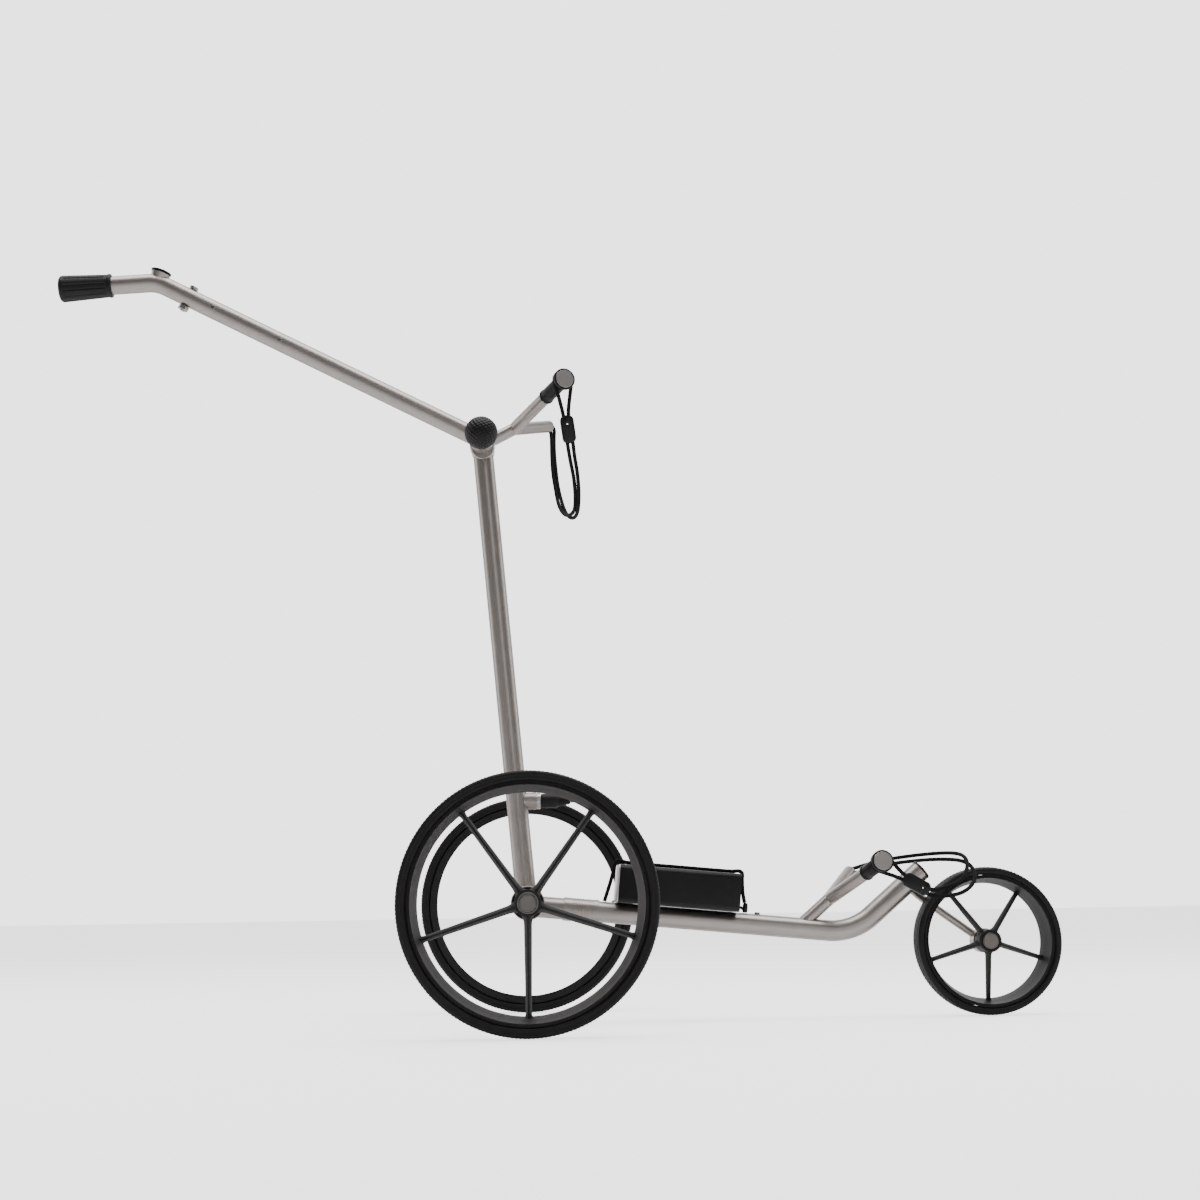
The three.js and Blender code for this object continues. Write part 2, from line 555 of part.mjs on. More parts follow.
function buildSocket() {
  const postCut = bar(PIVOT.clone().addScaledVector(POST_UP, -520), PIVOT.clone().addScaledVector(POST_UP, -420),
    clear(POST_RADIUS), LARGE);
  const housing = pipe(at(-10, 0, SOCKET_Z), at(12.6, 0, SOCKET_Z), 11, 9.4, LARGE).subtract(postCut);
  piece("socket_housing", housing, TITANIUM, trolley);
  const socket = turned([[7.4, 5.5], [9.1, 5.5], [9.1, 12.9], [10.6, 12.9], [10.6, 17.8], [7.4, 17.8]],
    at(0, 0, SOCKET_Z), at(1, 0, 0), LARGE);
  piece("power_socket", socket, STEEL, trolley);
  const plug = turned(
    [
      [0, 8], [6.2, 8], [6.2, 18.4], [9.2, 18.4], [9.3, 19.4], [9.3, 39.5], [8.3, 40.5], [7.4, 41], [7.4, 43],
      [6.6, 43.6], [6.8, 46], [5.6, 46.6], [5.8, 49], [4.7, 49.6], [4.6, 56.5], [0, 56.5],
    ],
    at(0, 0, SOCKET_Z), at(1, 0, 0), MEDIUM,
  );
  piece("plug", plug, RUBBER, trolley);
}

// ---------------------------------------------------------------- front section
// Built in the frame of the lower tube: X runs along the tube, Z is square to it.
const front = new THREE.Group();
front.position.set(0, 0, LOWER_DROP);
front.rotation.y = LOWER_SLOPE;
const NOSE_CORNER = at(417.7, 0, 0);
const NOSE_WAY = at(Math.cos(NOSE_SLOPE), 0, Math.sin(NOSE_SLOPE));
const NOSE_END = NOSE_CORNER.clone().addScaledVector(NOSE_WAY, 118.4);
const FRONT_HUB = at(591, 0, 3.9);
const LOWER = { fork: at(383.9, 0, 39.1), slope: 46.2 * DEG, spread: 0.71, reach: 77.9 };

function buildSpigot() {
  const axle = bar(at(0, -40, -LOWER_DROP), at(0, 40, -LOWER_DROP), clear(AXLE_RADIUS), LARGE);
  const spigot = turned(
    [[9.6, 8], [13.5, 8], [13.5, SHOULDER], [11.2, SHOULDER + 0.1], [11.2, 148], [10.4, 150], [9.6, 150]],
    at(0, 0, 0), at(1, 0, 0), LARGE,
  );
  piece("spigot_tube", spigot.subtract(axle), TITANIUM, front);
  const ridge = (start) => [[14.3, start], [14.8, start + 0.6], [14.8, start + 3.4], [14.3, start + 4]];
  const sleeve = turned(
    [
      [13.8, 45.6], [14.8, 45.6], [14.8, 51], ...ridge(56), ...ridge(68),
      [14.8, 83.5], [14.8, 90.4], [13.8, 90.4],
    ],
    at(0, 0, 0), at(1, 0, 0), LARGE,
  );
  piece("locking_sleeve", sleeve, TITANIUM, front);
}

function buildLowerTube() {
  const start = at(SHOULDER + 0.6, 0, 0);
  const route = rounded(start, NOSE_CORNER, NOSE_END, 76, 6);
  const bore = TUBE_RADIUS - TUBE_WALL;
  const strapHole = bar(at(97.2, 0, 4), at(97.2, 0, 20), LEAD_RADIUS + 0.6, SMALL);
  const hookHole = bar(at(277.5, 0, 4), at(277.5, 0, 20), 2.4, SMALL);
  const tube = sweep(route, TUBE_RADIUS, bore, LARGE).subtract(strapHole).subtract(hookHole);
  piece("lower_tube", tube, TITANIUM, front);
  const cap = turned([[0, -12], [11.2, -12], [11.2, GAP], [13.5, GAP], [13.5, 2.2], [12.4, 3.4], [0, 3.4]],
    NOSE_END, NOSE_WAY, LARGE);
  piece("tube_end_plug", cap, BLACK_PLASTIC, front);

  const { fork, slope, spread, reach } = LOWER;
  const base = at(346.5, 0, 0);
  const parts = bracket(base, fork, slope, spread, reach);
  const tubeGap = bar(at(300, 0, 0), at(400, 0, 0), clear(TUBE_RADIUS), LARGE);
  piece("lower_bracket", parts.vee.add(parts.stem.subtract(parts.inside)).subtract(tubeGap), TITANIUM, front);
  return parts;
}

const LOWER_FACE = at(437.4 - 4.6, -99.7, 90.2);
const LOWER_FACING = at(0.08, -0.975, 0.2).normalize();

function buildLowerKnob(parts) {
  const { fork } = LOWER;
  const [near, far] = [-1, 1].map((sign) => parts.tip(sign));
  const end = knob(near, near.clone().sub(fork).normalize(), LOWER_FACE, LOWER_FACING);
  piece("lower_knob", end.body, BLACK_PLASTIC, front);
  piece("lower_knob_face", end.plate, TITANIUM, front);
  piece("lower_strap_anchor", anchor(far, far.clone().sub(fork).normalize()), BLACK_PLASTIC, front);
  return end.neck;
}

function buildFrontArm() {
  const boss = pipe(at(FRONT_HUB.x, 10, FRONT_HUB.z), at(FRONT_HUB.x, 33, FRONT_HUB.z), 15.4, 5.4, LARGE);
  const path = new THREE.CatmullRomCurve3([
    at(479, 9, 69.5), at(490, 17, 63.5), at(503, 25.5, 55.5), at(520, 24, 45.2), at(555, 24, 24.6),
    at(FRONT_HUB.x, 24, FRONT_HUB.z),
  ], false, "centripetal");
  const rod = sweep(path.getSpacedPoints(8), 5, 0, SMALL);
  const bore = bar(at(FRONT_HUB.x, 0, FRONT_HUB.z), at(FRONT_HUB.x, 50, FRONT_HUB.z), 5.4, MEDIUM);
  const tubeGap = bar(NOSE_CORNER, NOSE_END.clone().addScaledVector(NOSE_WAY, 20), clear(TUBE_RADIUS), LARGE);
  piece("front_arm", boss.add(rod).subtract(bore).subtract(tubeGap), TITANIUM, front);
  const bolt = turned([[0, -14], [5, -14], [5, 33.4], [8.5, 33.4], [8.5, 37], [7, 38.4], [0, 38.4]],
    FRONT_HUB, LEFT, MEDIUM);
  piece("front_axle", bolt, STEEL, front);
}

function buildFrontWheel() {
  const group = new THREE.Group();
  group.position.copy(FRONT_HUB);
  group.rotation.y = -LOWER_SLOPE; // keeps one spoke pointing straight down
  front.add(group);
  const seat = 83.2;
  piece("front_tyre", tyreRing(FRONT_RADIUS, seat + GAP, 18.5), TYRE, group);
  const ring = turned([[79, -17], [seat, -17], [seat, 17], [73, 17]], at(0, 0, 0), LEFT, WHEEL_SIDES);
  const hub = turned([[10.8, -20], [14.4, -20], [14.4, 8.5], [11, 8.5], [11, -12], [10.8, -12]],
    at(0, 0, 0), LEFT, LARGE);
  const web = turned([[5.6, -15.5], [12, -15.5], [12, -14.5], [5.6, -14.5]], at(0, 0, 0), LEFT, LARGE);
  const disc = wheelDisc(ring, hub.add(web), 13, 75.5, [7.5, 5.6], [-3, 5], 8);
  piece("front_rim", disc, WHEEL_PLASTIC, group);
  const cap = turned([[0, -21.2], [9.6, -21.2], [10.4, -20.4], [10.4, -16], [0, -16]], at(0, 0, 0), LEFT, LARGE);
  piece("front_hub_cap", cap, TITANIUM, group);
  piece("front_bearing", pipe(at(0, -11, 0), at(0, 8, 0), 10.7, 5.3, MEDIUM), STEEL, group);
}

// ---------------------------------------------------------------- battery
const BATTERY = { from: 112.8, to: 266, low: 13.7, high: 61.5, half: 45, corner: 7 };

function batterySection(inset) {
  const { low, high, half, corner } = BATTERY;
  const r = corner - inset;
  const [y, z0, z1] = [half - inset, low + inset, high - inset];
  const outline = new THREE.Shape();
  outline.absarc(y - r, z0 + r, r, -Math.PI / 2, 0, false);
  outline.absarc(y - r, z1 - r, r, 0, Math.PI / 2, false);
  outline.absarc(-y + r, z1 - r, r, Math.PI / 2, Math.PI, false);
  outline.absarc(-y + r, z0 + r, r, Math.PI, 1.5 * Math.PI, false);
  return outline;
}

function batteryBlock(from, to, inset) {
  const settings = { depth: to - from, bevelEnabled: false, curveSegments: 3 };
  const shape = new THREE.ExtrudeGeometry(batterySection(inset), settings);
  const frame = new THREE.Matrix4().makeBasis(at(0, 1, 0), at(0, 0, 1), at(1, 0, 0)).setPosition(from, 0, 0);
  return solid(shape, frame);
}

function buildBattery() {
  const { from, to, high, low, half } = BATTERY;
  const saddle = bar(at(50, 0, 0), at(300, 0, 0), clear(TUBE_RADIUS), LARGE);
  const leadHole = bar(at(144.6, -18, 50), at(144.6, -18, 70), 3, SMALL);
  const shell = batteryBlock(from, to, 0).subtract(batteryBlock(from - 1, to - 3, 3)).subtract(leadHole);
  piece("battery_case", shell.subtract(saddle), BLACK_PLASTIC, front);
  piece("battery_end_plate", batteryBlock(from - 2.3, from - GAP, 0.4).subtract(saddle), TITANIUM, front);
  const cells = block(to - from - 16, 2 * half - 12, high - low - 16, at((from + to) / 2, 0, (high + low) / 2 - 1));
  piece("battery_cells", cells, CELLS, front);
  for (const [name, along] of [["battery_stud_rear", 108.4], ["battery_stud_front", 293.4]]) {
    const reach = name === "battery_stud_rear" ? 1.9 : 3.5;
    const stud = turned([[0, 8], [reach, 8], [reach, 14.6], [reach * 0.6, 15.8], [0, 15.8]],
      at(along, 0, 0), at(0, 0, 1), SMALL);
    piece(name, stud.subtract(saddle), TITANIUM, front);
  }
  const gland = turned([[0, 61.8], [6.2, 61.8], [6.2, 65], [4.4, 66], [4, 70.2], [0, 70.2]],
    at(144.6, -18, 0), at(0, 0, 1), MEDIUM);
  piece("lead_gland", gland, RUBBER, front);
}

// Elastic strap over the battery, from a hole in the tube to a hook in front of the battery.
const BATTERY_STRAP = [
  [97.2, 0, 13.7], [98.6, 0, 20], [101.4, 0, 32], [104.4, 0, 46], [106.2, 0, 57], [106.7, 0, 62.4],
  [108.6, 0, 65.6], [113, 0, 66], [124, 0, 64.8], [150, 0, 64.5], [190, 0, 64.5], [230, 0, 64.5],
  [258, 0, 64.8], [266.8, 0, 65.8], [270.6, 0, 63.6], [271.2, 0, 58], [272, 0, 48], [273.8, 0, 36],
  [276.4, 0, 26.2],
];
const BATTERY_LEAD = [
  [150.9, -18, 53.7], [151.4, -18, 60], [150.4, -17.6, 68], [146.5, -16.6, 77.5], [140, -15, 87],
  [131, -13, 96], [120, -10.6, 104.5], [107.5, -7.8, 112.5], [94, -4.6, 119.5], [80, -1.8, 125.2],
  [68, -0.3, 129], [61, 0, 130], [56.8, 0, 130.2],
];
const LOWER_SLIDER = {
  centre: at(480.5, -95, 15.7),
  down: at(0.866, -0.03, -0.5).normalize(),
  facing: at(-0.03, -1, 0).normalize(),
  side: -1,
  eyelet: 0.5,
};
const LOWER_STRAP_OUT = [
  [428.8, 81.2, 36.4], [434, 88, 39], [443, 95, 41.5], [454, 97, 44.5], [468, 91, 48], [486, 77, 51.5],
  [506, 57, 54], [523, 36, 55.5], [538, 14, 56], [549, -8, 55], [555, -29, 51.5], [556, -47, 44],
  [552, -62, 34], [544, -76, 24], [533, -86, 16.5], [520, -91, 12], [510, -93.4, 9.5],
];
const LOWER_STRAP_BACK = [
  [506, -96, 0.5], [520, -95.5, 1], [536, -91.5, 4], [549, -84, 10.5], [558, -73, 19.5], [562, -58, 30],
  [561, -41, 39], [554, -22, 45], [541, 0, 47.5], [524, 22, 48], [506, 44, 47], [487, 64, 45],
  [469, 81, 41.5], [454, 90, 38], [443, 91, 35], [434, 86.5, 32.5], [427.4, 81.6, 31.4],
];

function buildCords(lowerNeck) {
  piece("battery_strap", cord(BATTERY_STRAP.map((p) => at(...p)), LEAD_RADIUS, 28), CORD, front);
  const hook = turned([[0, 14.2], [2, 14.2], [4.2, 16], [4.6, 21], [3.4, 25.4], [0, 25.8]],
    at(277.5, 0, 0), at(0, 0, 1), SMALL);
  const barb = bar(at(277.5, 0, 18), at(269.8, 0, 21.5), 2.4, SMALL);
  piece("strap_hook", hook.add(barb), BLACK_PLASTIC, front);
  piece("battery_lead", cord(BATTERY_LEAD.map((p) => at(...p)), LEAD_RADIUS, 14), RUBBER, trolley);
  front.updateMatrix();
  const neck = lowerNeck.clone().applyMatrix4(front.matrix);
  const facing = LOWER_FACING.clone().transformDirection(front.matrix);
  const route = strapRoute(LOWER_STRAP_OUT, LOWER_SLIDER, neck, facing, LOWER_STRAP_BACK);
  piece("lower_strap", sweep(route, CORD_RADIUS, 0, 8), CORD, trolley);
  piece("lower_strap_slider", slider(LOWER_SLIDER), BLACK_PLASTIC, trolley);
}

// ---------------------------------------------------------------- the whole trolley
buildAxle();
buildRearWheel("right", -1);
buildRearWheel("left", 1);
buildPost();
buildUpperBracket();
buildHandle();
buildClamp();
buildSocket();
trolley.add(front);
buildSpigot();
const lowerNeck = buildLowerKnob(buildLowerTube());
buildFrontArm();
buildFrontWheel();
buildBattery();
buildCords(lowerNeck);

const box = new THREE.Box3().setFromObject(trolley);
const middle = box.getCenter(new THREE.Vector3());
trolley.position.set(-middle.x, -middle.y, -box.min.z);
const part = new THREE.Group();
part.add(trolley);

export default part;
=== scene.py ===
"""Looks of the electric golf trolley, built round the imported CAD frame.

Lengths are in millimetres from the middle of the rear axle until mesh_piece() turns them into
metres in the frame: X points forward, Y to the trolley's left and Z up.
"""
import json
import math

import bmesh
import bpy
import numpy as np
from mathutils import Matrix, Vector


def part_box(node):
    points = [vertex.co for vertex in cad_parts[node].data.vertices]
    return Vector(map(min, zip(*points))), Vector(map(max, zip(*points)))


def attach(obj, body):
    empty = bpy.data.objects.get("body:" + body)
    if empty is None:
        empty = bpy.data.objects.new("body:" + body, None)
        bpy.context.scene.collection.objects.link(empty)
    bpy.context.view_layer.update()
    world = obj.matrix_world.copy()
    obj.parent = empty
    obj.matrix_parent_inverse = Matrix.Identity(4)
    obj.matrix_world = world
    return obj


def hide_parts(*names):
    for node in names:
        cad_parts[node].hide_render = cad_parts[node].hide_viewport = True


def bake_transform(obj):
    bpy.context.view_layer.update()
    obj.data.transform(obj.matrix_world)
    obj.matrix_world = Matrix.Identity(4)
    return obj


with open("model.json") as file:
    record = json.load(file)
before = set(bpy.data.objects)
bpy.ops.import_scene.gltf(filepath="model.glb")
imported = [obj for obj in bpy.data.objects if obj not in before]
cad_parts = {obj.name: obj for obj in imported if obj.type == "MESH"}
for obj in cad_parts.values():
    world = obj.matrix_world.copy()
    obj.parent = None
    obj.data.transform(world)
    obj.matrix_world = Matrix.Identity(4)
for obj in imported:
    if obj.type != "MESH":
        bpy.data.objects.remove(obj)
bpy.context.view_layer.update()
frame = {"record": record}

# ---- frame and driving sizes
MM = 0.001
axle_low, axle_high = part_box("axle_tube")
AXLE = (Vector(axle_low) + Vector(axle_high)) / 2
TO_FRAME = Matrix.Translation(AXLE) @ Matrix.Scale(MM, 4)
UP = Vector((0, 0, 1))
LEFT = Vector((0, 1, 0))

AXLE_RADIUS = 19.5
AXLE_WALL = 1.7
AXLE_HALF = 240
REAR_RADIUS = 150
TRACK = 540
FRONT_RADIUS = 93.6
POST_LEAN = math.radians(5)
POST_RADIUS = 13.4
POST_LENGTH = 603
POST_UP = Vector((-math.sin(POST_LEAN), 0, math.cos(POST_LEAN)))
PIVOT = Vector((-53.6, 0, 600.7))
HEAD_LOW = PIVOT + Vector((0.7, 0, -6.3))
HEAD_RADIUS = 16.6
HEAD_LOW_RADIUS = 15.3
HEAD_HALF = 13.9
HANDLE_SLOPE = math.radians(26.95)
HANDLE_WAY = Vector((-math.cos(HANDLE_SLOPE), 0, math.sin(HANDLE_SLOPE)))
HANDLE_UP = Vector((math.sin(HANDLE_SLOPE), 0, math.cos(HANDLE_SLOPE)))
HANDLE_Y = -29.5
HANDLE_RADIUS = 12.1
HANDLE_LENGTH = 477.6
HANDLE_ROOT = Vector((PIVOT.x, HANDLE_Y, PIVOT.z))
HANDLE_CORNER = HANDLE_ROOT + HANDLE_WAY * HANDLE_LENGTH
ACCESSORY_ALONG = 431
BOARD_ALONG = 344
SCREWS_ALONG = {"board_screw_front": 295, "board_screw_rear": 393}
BARREL_RADIUS = 14.5
BARREL_END = 44
GRIP_TUBE = 108
GRIP_FROM = 59
GRIP_FLUTES = 12
GRIP_SLOPE = math.radians(-3.9)
GRIP_WAY = Vector((-math.cos(GRIP_SLOPE), 0, math.sin(GRIP_SLOPE)))
DIAL_LEAN = math.radians(17.4)
DIAL_UP = Vector((math.sin(DIAL_LEAN), 0, math.cos(DIAL_LEAN)))
LOWER_SLOPE = math.radians(5.6)
FRONT = Matrix.Translation((0, 0, -2.6)) @ Matrix.Rotation(LOWER_SLOPE, 4, "Y")
TUBE_RADIUS = 13.3
SPIGOT_SHOULDER = 60
NOSE_SLOPE = math.radians(46.1)
NOSE_CORNER = Vector((417.7, 0, 0))
NOSE_WAY = Vector((math.cos(NOSE_SLOPE), 0, math.sin(NOSE_SLOPE)))
NOSE_LENGTH = 118.4
NOSE_END = NOSE_CORNER + NOSE_WAY * NOSE_LENGTH
FRONT_HUB = Vector((591, 0, 3.9))
SOCKET_Z = 130.2
ARM_RADIUS = 8.2
ARM_WALL = 1.4
CORD_RADIUS = 2.5
SLEEVE_RADIUS = 9.3
KNOB_RADIUS = 14
FLANGE_DEPTH = 5
NECK_RADIUS = 8.4
NECK_BACK = 12
SLIDER = {"width": 17.5, "depth": 9.6, "length": 36, "pitch": 7.0, "corner": 7, "eyelet": 1.3}
WALL = 1.6
BOLT_BORE = 5.4
PIPE_EDGE = 0.4
# Room round a strand in its channel, between a cord and its neck or hole, and round a tube or bar.
CHANNEL_ROOM = 0.5
LOOP_ROOM = 0.6
TUBE_ROOM = 0.3
BALL_RADIUS = 21.33
BALL_ASIDE = 67.2
BATTERY_LOW = 13.7
BATTERY_HIGH = 61.5
BATTERY_HALF = 45
BATTERY_CORNER = 7
BATTERY_REAR = 112.8
BATTERY_FRONT = 266
GLAND = Vector((144.6, -18, 0))
HOOK = Vector((277.5, 0, 0))
LEAD_HELD = Vector((149, -17, 72))
LEAD_PULLED = Vector((62, 0, 130))


# ---- camera, light and floor
# The place is in millimetres from the rear axle, the angles in degrees.
CAMERA_PLACE = Vector((-1.73, -2409.5, -6.13))
CAMERA_YAW_PITCH_ROLL = (2.394, 9.362, -0.981)
LENS = 55.93
SENSOR = 36
# The shell that lights the scene is dark, and bright beyond the trolley's left.
SHELL_DARK = (0.095, 0.092, 0.091, 1)
SHELL_BRIGHT = (1, 1, 1, 1)
SHELL_TURN = (0.6, 0.97)
SHELL_TOWARDS = (0, 0.98, 0.2)
SHELL_STRENGTH = 2.0
BACKDROP = (1.0, 0.995, 0.99, 1)
BACKDROP_STRENGTH = 2.9
# Name, place and target in metres, size in metres, watts.
LIGHTS = [
    ("left", (-2.6, 0.8, 1.3), (0, 0, 0.4), (1.2, 2.4), 16),
    ("right", (2.6, 0.6, 1.1), (0.1, 0, 0.3), (1.2, 2.2), 16),
    ("front", (0.9, -4.2, 1.5), (0, 0, 0.4), (0.9, 2.4), 9),
    ("top", (0.1, -0.1, 3.2), (0.1, 0, 0.3), (4.0, 2.0), 95),
]
FLOOR_REACH = 30
FLOOR_COLOUR = (0.93, 0.93, 0.93)
FLOOR_GLOW = 0.15
FLOOR_GLOW_SEEN = 1.7


def add_camera():
    """The camera stands 2.4 m to the right of the trolley, low down, looking slightly up."""
    yaw, pitch, roll = (math.radians(angle) for angle in CAMERA_YAW_PITCH_ROLL)
    ahead = Vector((math.sin(yaw) * math.cos(pitch), math.cos(yaw) * math.cos(pitch),
                    math.sin(pitch)))
    level = Vector((math.cos(yaw), -math.sin(yaw), 0))
    upright = level.cross(ahead)
    right = level * math.cos(roll) + upright * math.sin(roll)
    top = upright * math.cos(roll) - level * math.sin(roll)
    camera = bpy.data.objects.new("camera", bpy.data.cameras.new("camera"))
    camera.data.lens = LENS
    camera.data.sensor_width = SENSOR
    place = Matrix.Translation(AXLE + CAMERA_PLACE * MM)
    camera.matrix_world = place @ Matrix((right, top, -ahead)).transposed().to_4x4()
    bpy.context.scene.collection.objects.link(camera)
    bpy.context.scene.camera = camera


def add_light(name, place, target, size, power):
    lamp = bpy.data.lights.new(name, "AREA")
    lamp.shape = "RECTANGLE"
    lamp.size, lamp.size_y = size
    lamp.energy = power
    light = bpy.data.objects.new(name, lamp)
    light.location = place
    light.rotation_euler = (Vector(target) - Vector(place)).to_track_quat("-Z", "Y").to_euler()
    bpy.context.scene.collection.objects.link(light)


def fill(node, values):
    for socket, value in values.items():
        node.inputs[socket].default_value = value


def add_world():
    """A shell that lights the trolley, and a pale backdrop that only the camera sees."""
    world = bpy.data.worlds.new("studio")
    bpy.context.scene.world = world
    world.use_nodes = True
    nodes, links = world.node_tree.nodes, world.node_tree.links
    nodes.clear()
    where = nodes.new("ShaderNodeTexCoord")
    ramp = nodes.new("ShaderNodeValToRGB")
    shell = nodes.new("ShaderNodeBackground")
    out = nodes.new("ShaderNodeOutputWorld")
    ramp.color_ramp.interpolation = "EASE"
    for element, position, colour in zip(ramp.color_ramp.elements, SHELL_TURN, (SHELL_DARK, SHELL_BRIGHT)):
        element.position = position
        element.color = colour
    lean = nodes.new("ShaderNodeVectorMath")
    lean.operation = "DOT_PRODUCT"
    fill(lean, {1: SHELL_TOWARDS})
    links.new(where.outputs["Generated"], lean.inputs[0])
    links.new(lean.outputs["Value"], ramp.inputs[0])
    links.new(ramp.outputs[0], shell.inputs[0])
    fill(shell, {"Strength": SHELL_STRENGTH})
    backdrop = nodes.new("ShaderNodeBackground")
    fill(backdrop, {"Color": BACKDROP, "Strength": BACKDROP_STRENGTH})
    seen = nodes.new("ShaderNodeLightPath")
    either = nodes.new("ShaderNodeMixShader")
    links.new(seen.outputs["Is Camera Ray"], either.inputs[0])
    links.new(shell.outputs[0], either.inputs[1])
    links.new(backdrop.outputs[0], either.inputs[2])
    links.new(either.outputs[0], out.inputs[0])


def add_floor():
    """A pale floor that glows for the camera, so that it is as bright as the backdrop."""
    mesh = bpy.data.meshes.new("floor")
    corners = [(x * FLOOR_REACH, y * FLOOR_REACH, 0) for x, y in ((-1, -1), (1, -1), (1, 1), (-1, 1))]
    mesh.from_pydata(corners, [], [(0, 1, 2, 3)])
    floor = bpy.data.objects.new("floor", mesh)
    bpy.context.scene.collection.objects.link(floor)
    pale = material("floor", FLOOR_COLOUR, 0.9)
    nodes, links = pale.node_tree.nodes, pale.node_tree.links
    seen = nodes.new("ShaderNodeLightPath")
    glow = nodes.new("ShaderNodeMath")
    glow.operation = "MULTIPLY_ADD"
    fill(glow, {1: FLOOR_GLOW_SEEN, 2: FLOOR_GLOW})
    links.new(seen.outputs["Is Camera Ray"], glow.inputs[0])
    shader = nodes["Principled BSDF"]
    fill(shader, {"Emission Color": (1, 1, 1, 1)})
    links.new(glow.outputs[0], shader.inputs["Emission Strength"])
    floor.data.materials.append(pale)


# ---- materials
MOTTLE_SCALE = 60
NOISE_SPAN = (0.3, 0.7)


def noise(nodes, links, where, scale, detail):
    made = nodes.new("ShaderNodeTexNoise")
    fill(made, {"Scale": scale, "Detail": detail})
    links.new(where.outputs["Object"], made.inputs["Vector"])
    return made


def material(name, colour, roughness, metallic=0, spread=0, grain=0, scale=900, rough_spread=0,
             specular=0.5):
    """A procedural finish: large soft colour mottling, fine grain in bump and in roughness."""
    made = bpy.data.materials.new(name)
    made.use_nodes = True
    nodes, links = made.node_tree.nodes, made.node_tree.links
    shader = nodes["Principled BSDF"]
    fill(shader, {"Metallic": metallic, "Roughness": roughness, "Base Color": (*colour, 1),
                  "Specular IOR Level": specular})
    if not (spread or grain or rough_spread):
        return made
    where = nodes.new("ShaderNodeTexCoord")
    fine = noise(nodes, links, where, scale, 4)
    broad = noise(nodes, links, where, MOTTLE_SCALE, 3)
    tint = nodes.new("ShaderNodeValToRGB")
    for element, position, factor in zip(tint.color_ramp.elements, NOISE_SPAN, (1 - spread, 1 + spread)):
        element.position = position
        element.color = (*(min(1, channel * factor) for channel in colour), 1)
    links.new(broad.outputs["Fac"], tint.inputs[0])
    links.new(tint.outputs[0], shader.inputs["Base Color"])
    if rough_spread:
        span = nodes.new("ShaderNodeMapRange")
        fill(span, {"From Min": NOISE_SPAN[0], "From Max": NOISE_SPAN[1],
                    "To Min": roughness - rough_spread, "To Max": roughness + rough_spread})
        links.new(fine.outputs["Fac"], span.inputs["Value"])
        links.new(span.outputs[0], shader.inputs["Roughness"])
    if grain:
        bump = nodes.new("ShaderNodeBump")
        fill(bump, {"Strength": 1, "Distance": grain * MM})
        links.new(fine.outputs["Fac"], bump.inputs["Height"])
        links.new(bump.outputs[0], shader.inputs["Normal"])
    return made


# Colour, roughness, metallic, spread of the colour, depth of the grain in mm, its scale, spread of the
# roughness, specular level.
FINISHES = {
    "titanium": ((0.43, 0.395, 0.372), 0.37, 1, 0.04, 0.0003, 1400, 0.02),
    "polished_titanium": ((0.62, 0.60, 0.58), 0.34, 1, 0.03, 0.0002, 1500, 0.01),
    "dark_titanium": ((0.20, 0.186, 0.177), 0.42, 1, 0.04, 0.0003, 1500, 0.01),
    "steel": ((0.50, 0.49, 0.48), 0.24, 1, 0.03, 0.0003, 1500, 0.04),
    "motor_steel": ((0.25, 0.25, 0.26), 0.4, 1, 0.04, 0.002, 900, 0.05),
    "wheel_plastic": ((0.0145, 0.014, 0.0135), 0.52, 0, 0.10, 0.002, 1100, 0.05, 0.28),
    "black_plastic": ((0.005, 0.0047, 0.0047), 0.42, 0, 0.12, 0.001, 1500, 0.05, 0.35),
    "gloss_black": ((0.0034, 0.0032, 0.003), 0.36, 0, 0.10, 0.0006, 900, 0.04, 0.32),
    "battery_black": ((0.006, 0.0057, 0.0057), 0.45, 0, 0.15, 0.001, 1300, 0.06, 0.3),
    "rubber": ((0.0045, 0.0042, 0.0042), 0.5, 0, 0.15, 0.0015, 1300, 0.06, 0.35),
    "tyre": ((0.0065, 0.0062, 0.006), 0.52, 0, 0.15, 0.003, 900, 0.06, 0.3),
    "cord": ((0.013, 0.012, 0.0125), 0.75, 0, 0.2, 0.002, 1600, 0.06, 0.1),
    "board": ((0.02, 0.12, 0.05), 0.45, 0, 0.1, 0.002, 800),
    "cells": ((0.03, 0.12, 0.28), 0.45, 0, 0.1, 0.002, 800),
}
LOOKS = {name: material(name, *finish) for name, finish in FINISHES.items()}
RECORD_SLOT = {row["node"]: row["material_slot"] for row in frame["record"]["subparts"]}
BODY = {node: body for body, nodes in frame["record"]["behaviour"]["bodies"].items() for node in nodes}


# ---- shapes, in millimetres
class Shape:
    """Vertices and faces, with the operations that the pieces below need."""

    def __init__(self, points, faces):
        self.points = np.asarray(points, float).reshape(-1, 3)
        self.faces = faces

    def moved(self, matrix):
        turn = np.array(matrix.to_3x3())
        return Shape(self.points @ turn.T + np.array(matrix.translation), self.faces)

    def mesh(self, name):
        made = bpy.data.meshes.new(name)
        made.from_pydata(self.points.tolist(), [], self.faces)
        made.validate()
        made.update()
        return made


def aim(origin, direction):
    """Matrix that puts local Y along a direction, with its origin at a point."""
    turn = LEFT.rotation_difference(Vector(direction).normalized())
    return Matrix.Translation(origin) @ turn.to_matrix().to_4x4()


